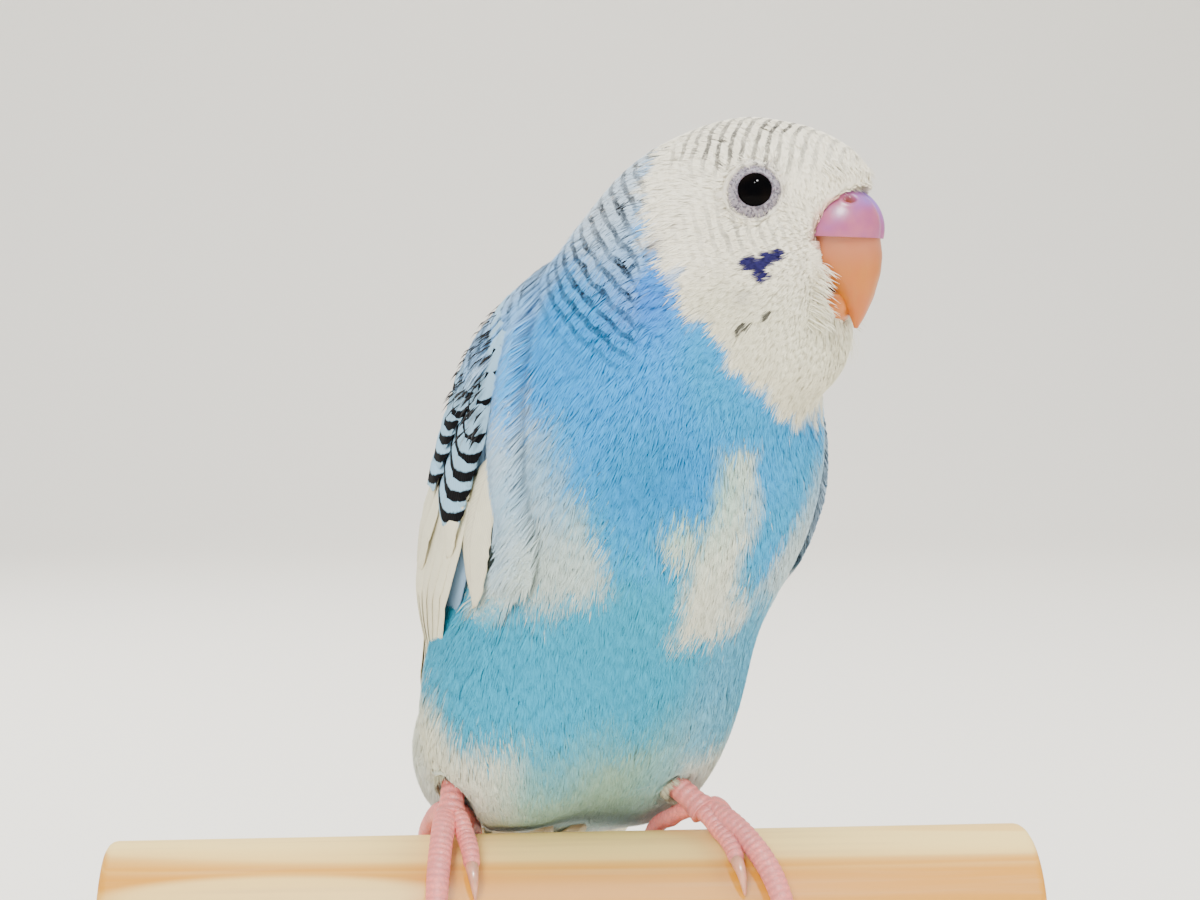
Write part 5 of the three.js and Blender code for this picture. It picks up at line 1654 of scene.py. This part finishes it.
class BUDGIE_OT_stand(bpy.types.Operator):
    """Make the display stand: a flat base and two steel rods"""
    bl_idname = "budgie.stand"
    bl_label = "Display stand"

    def execute(self, context):
        look = context.scene.stand
        paint = Finish("base_paint", Roughness=0.45, Coat_Weight=0.2)
        coat = paint.noise(180, 4)
        paint.paint(paint.mix(paint.step(coat, 0.3, 0.7), tuple(look.base), tuple(0.94 * c for c in look.base)))
        paint.bump(paint.noise(1500, 3), 0.08, 0.05)
        low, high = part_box("stand_base")
        deselect()
        bpy.ops.mesh.primitive_cube_add(size=1, location=(low + high) / 2, scale=high - low)
        slab = context.view_layer.objects.active
        bpy.ops.object.transform_apply(location=True, rotation=True, scale=True)
        bpy.ops.object.mode_set(mode="EDIT")
        bpy.ops.mesh.select_mode(type="EDGE")
        bpy.ops.mesh.select_all(action="DESELECT")
        bpy.ops.object.mode_set(mode="OBJECT")
        for line in slab.data.edges:
            a, b = (slab.data.vertices[i].co for i in line.vertices)
            line.select = abs(a.z - b.z) > 0.5 * (high.z - low.z)
        bpy.ops.object.mode_set(mode="EDIT")
        bpy.ops.mesh.bevel(offset=10 * MM, segments=14, affect="EDGES")
        bpy.ops.object.mode_set(mode="OBJECT")
        modify(slab, "BEVEL", width=1.0 * MM, segments=3, limit_method="ANGLE", angle_limit=math.radians(40))
        shade(slab, 30)
        title(slab, "base_slab")
        settle(slab, "base_wood", "stand_base", material=paint.material)

        steel = Finish("steel", Metallic=1.0, Roughness=0.32)
        brushed = steel.noise(1200, 3, steel.stretched(1, 1, 0.04))
        steel.paint(steel.mix(steel.step(brushed, 0.3, 0.7), tuple(look.rod), tuple(0.8 * c for c in look.rod)))
        steel.bump(brushed, 0.08, 0.02)
        top = PERCH_AXIS_Z * MM - math.sqrt((PERCH_RADIUS + GAP) ** 2 - ROD_RADIUS ** 2) * MM
        for _, side in SIDES:
            low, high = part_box("stand_rod_" + side)
            deselect()
            bpy.ops.mesh.primitive_cylinder_add(
                vertices=64, radius=ROD_RADIUS * MM, depth=top - low.z,
                location=((low.x + high.x) / 2, 0, (top + low.z) / 2))
            rod = context.view_layer.objects.active
            bpy.ops.object.transform_apply(location=True, rotation=True, scale=True)
            modify(rod, "BEVEL", width=0.3 * MM, segments=2, limit_method="ANGLE", angle_limit=math.radians(60))
            shade(rod, 35)
            title(rod, "rod_" + side)
            settle(rod, "rod_steel", "stand_rod_" + side, material=steel.material)
        return {"FINISHED"}


CAMERA_PLACE = np.array((-16.84, -254.72, 65.9))
# Lamps: place in metres, width, power
LAMPS = {
    "key": ((-0.35, -0.9, 0.7), 0.45, 15),
    "fill": ((0.8, -0.5, 0.35), 0.7, 6),
    "top": ((0, 0.1, 1.1), 0.8, 8),
    "rim": ((-0.5, 0.7, 0.5), 0.5, 4),
    "wall": ((0.2, 0.6, 1.3), 1.2, 18),
    "glint": ((0.09, -0.61, 0.86), 0.09, 22),
    "glint_low": ((-0.06, -0.7, 0.78), 0.05, 3),
}


class BUDGIE_OT_stage(bpy.types.Operator):
    """Set the pale floor and wall, the soft lights and the camera"""
    bl_idname = "budgie.stage"
    bl_label = "Studio"

    def execute(self, context):
        look = context.scene.studio
        wall = Finish("backdrop", Roughness=0.9)
        wall.paint(wall.mix(wall.noise(3, 2), tuple(look.backdrop), tuple(0.97 * c for c in look.backdrop)))
        deselect()
        bpy.ops.mesh.primitive_plane_add(size=1)
        cloth = context.view_layer.objects.active
        turn = np.linspace(0, np.pi / 2, 17)
        line = [(-3.0, 0.0)] + [(1.1 + 0.5 * math.sin(t), 0.5 - 0.5 * math.cos(t)) for t in turn] + [(1.6, 3.0)]
        points = [(x, y, z) for y, z in line for x in (-4, 4)]
        faces = [(2 * i, 2 * i + 1, 2 * i + 3, 2 * i + 2) for i in range(len(line) - 1)]
        cloth.data.clear_geometry()
        cloth.data.from_pydata(points, [], faces)
        shade(cloth)
        title(cloth, "backdrop")
        cloth.data.materials.append(wall.material)

        world = bpy.data.worlds.new("studio")
        world.use_nodes = True
        sky = world.node_tree.nodes["Background"]
        sky.inputs["Color"].default_value = (0.93, 0.96, 1, 1)
        sky.inputs["Strength"].default_value = 0.95
        context.scene.world = world
        middle = Vector((0, 0, 0.14))
        for name, (place, size, power) in LAMPS.items():
            light = bpy.data.lights.new(name, "AREA")
            light.shape, light.size, light.energy = "DISK", size, power
            lamp = bpy.data.objects.new(name, light)
            lamp.location = place
            lamp.visible_glossy = name.startswith("glint")
            lamp.visible_diffuse = not lamp.visible_glossy
            lamp.rotation_euler = (middle - Vector(place)).to_track_quat("-Z", "Y").to_euler()
            context.scene.collection.objects.link(lamp)

        lens = bpy.data.cameras.new("camera")
        lens.lens, lens.sensor_width, lens.sensor_fit = look.lens, 36, "HORIZONTAL"
        lens.clip_start, lens.clip_end = 0.01, 20
        camera = bpy.data.objects.new("camera", lens)
        camera.location = Vector((CAMERA_PLACE + PERCH_TOP) * MM)
        camera.rotation_euler = (math.pi / 2 - look.pitch, 0, look.azimuth)
        context.scene.collection.objects.link(camera)
        context.scene.camera = camera
        return {"FINISHED"}


class BUDGIE_PT_panel(bpy.types.Panel):
    """Lists the pieces in the 3D view's sidebar"""
    bl_label = "Budgerigar"
    bl_idname = "BUDGIE_PT_panel"
    bl_space_type = "VIEW_3D"
    bl_region_type = "UI"
    bl_category = "Budgerigar"

    def draw(self, context):
        for group in GROUPS:
            settings = getattr(context.scene, group)
            for name in settings.bl_rna.properties.keys():
                if name not in ("rna_type", "name"):
                    self.layout.prop(settings, name)
        for operator in OPERATORS:
            self.layout.operator(operator.bl_idname)


GROUPS = {"plumage": PlumageSettings, "head": HeadSettings, "legs": LegSettings, "stand": StandSettings,
          "studio": StudioSettings}
OPERATORS = (BUDGIE_OT_stage, BUDGIE_OT_skin, BUDGIE_OT_coat, BUDGIE_OT_wings, BUDGIE_OT_tail, BUDGIE_OT_eyes,
             BUDGIE_OT_bill, BUDGIE_OT_feet, BUDGIE_OT_perch, BUDGIE_OT_stand)


def register():
    for group in (*GROUPS.values(), *OPERATORS, BUDGIE_PT_panel):
        bpy.utils.register_class(group)
    for name, group in GROUPS.items():
        setattr(bpy.types.Scene, name, bpy.props.PointerProperty(type=group))


def unregister():
    for name in GROUPS:
        delattr(bpy.types.Scene, name)
    for group in (BUDGIE_PT_panel, *reversed(OPERATORS), *GROUPS.values()):
        bpy.utils.unregister_class(group)


def main():
    register()
    bpy.ops.budgie.stage()
    bpy.ops.budgie.skin()
    bpy.ops.budgie.coat()
    bpy.ops.budgie.wings()
    bpy.ops.budgie.tail()
    bpy.ops.budgie.eyes()
    bpy.ops.budgie.bill()
    bpy.ops.budgie.feet()
    bpy.ops.budgie.perch()
    bpy.ops.budgie.stand()


if __name__ == "__main__":
    main()
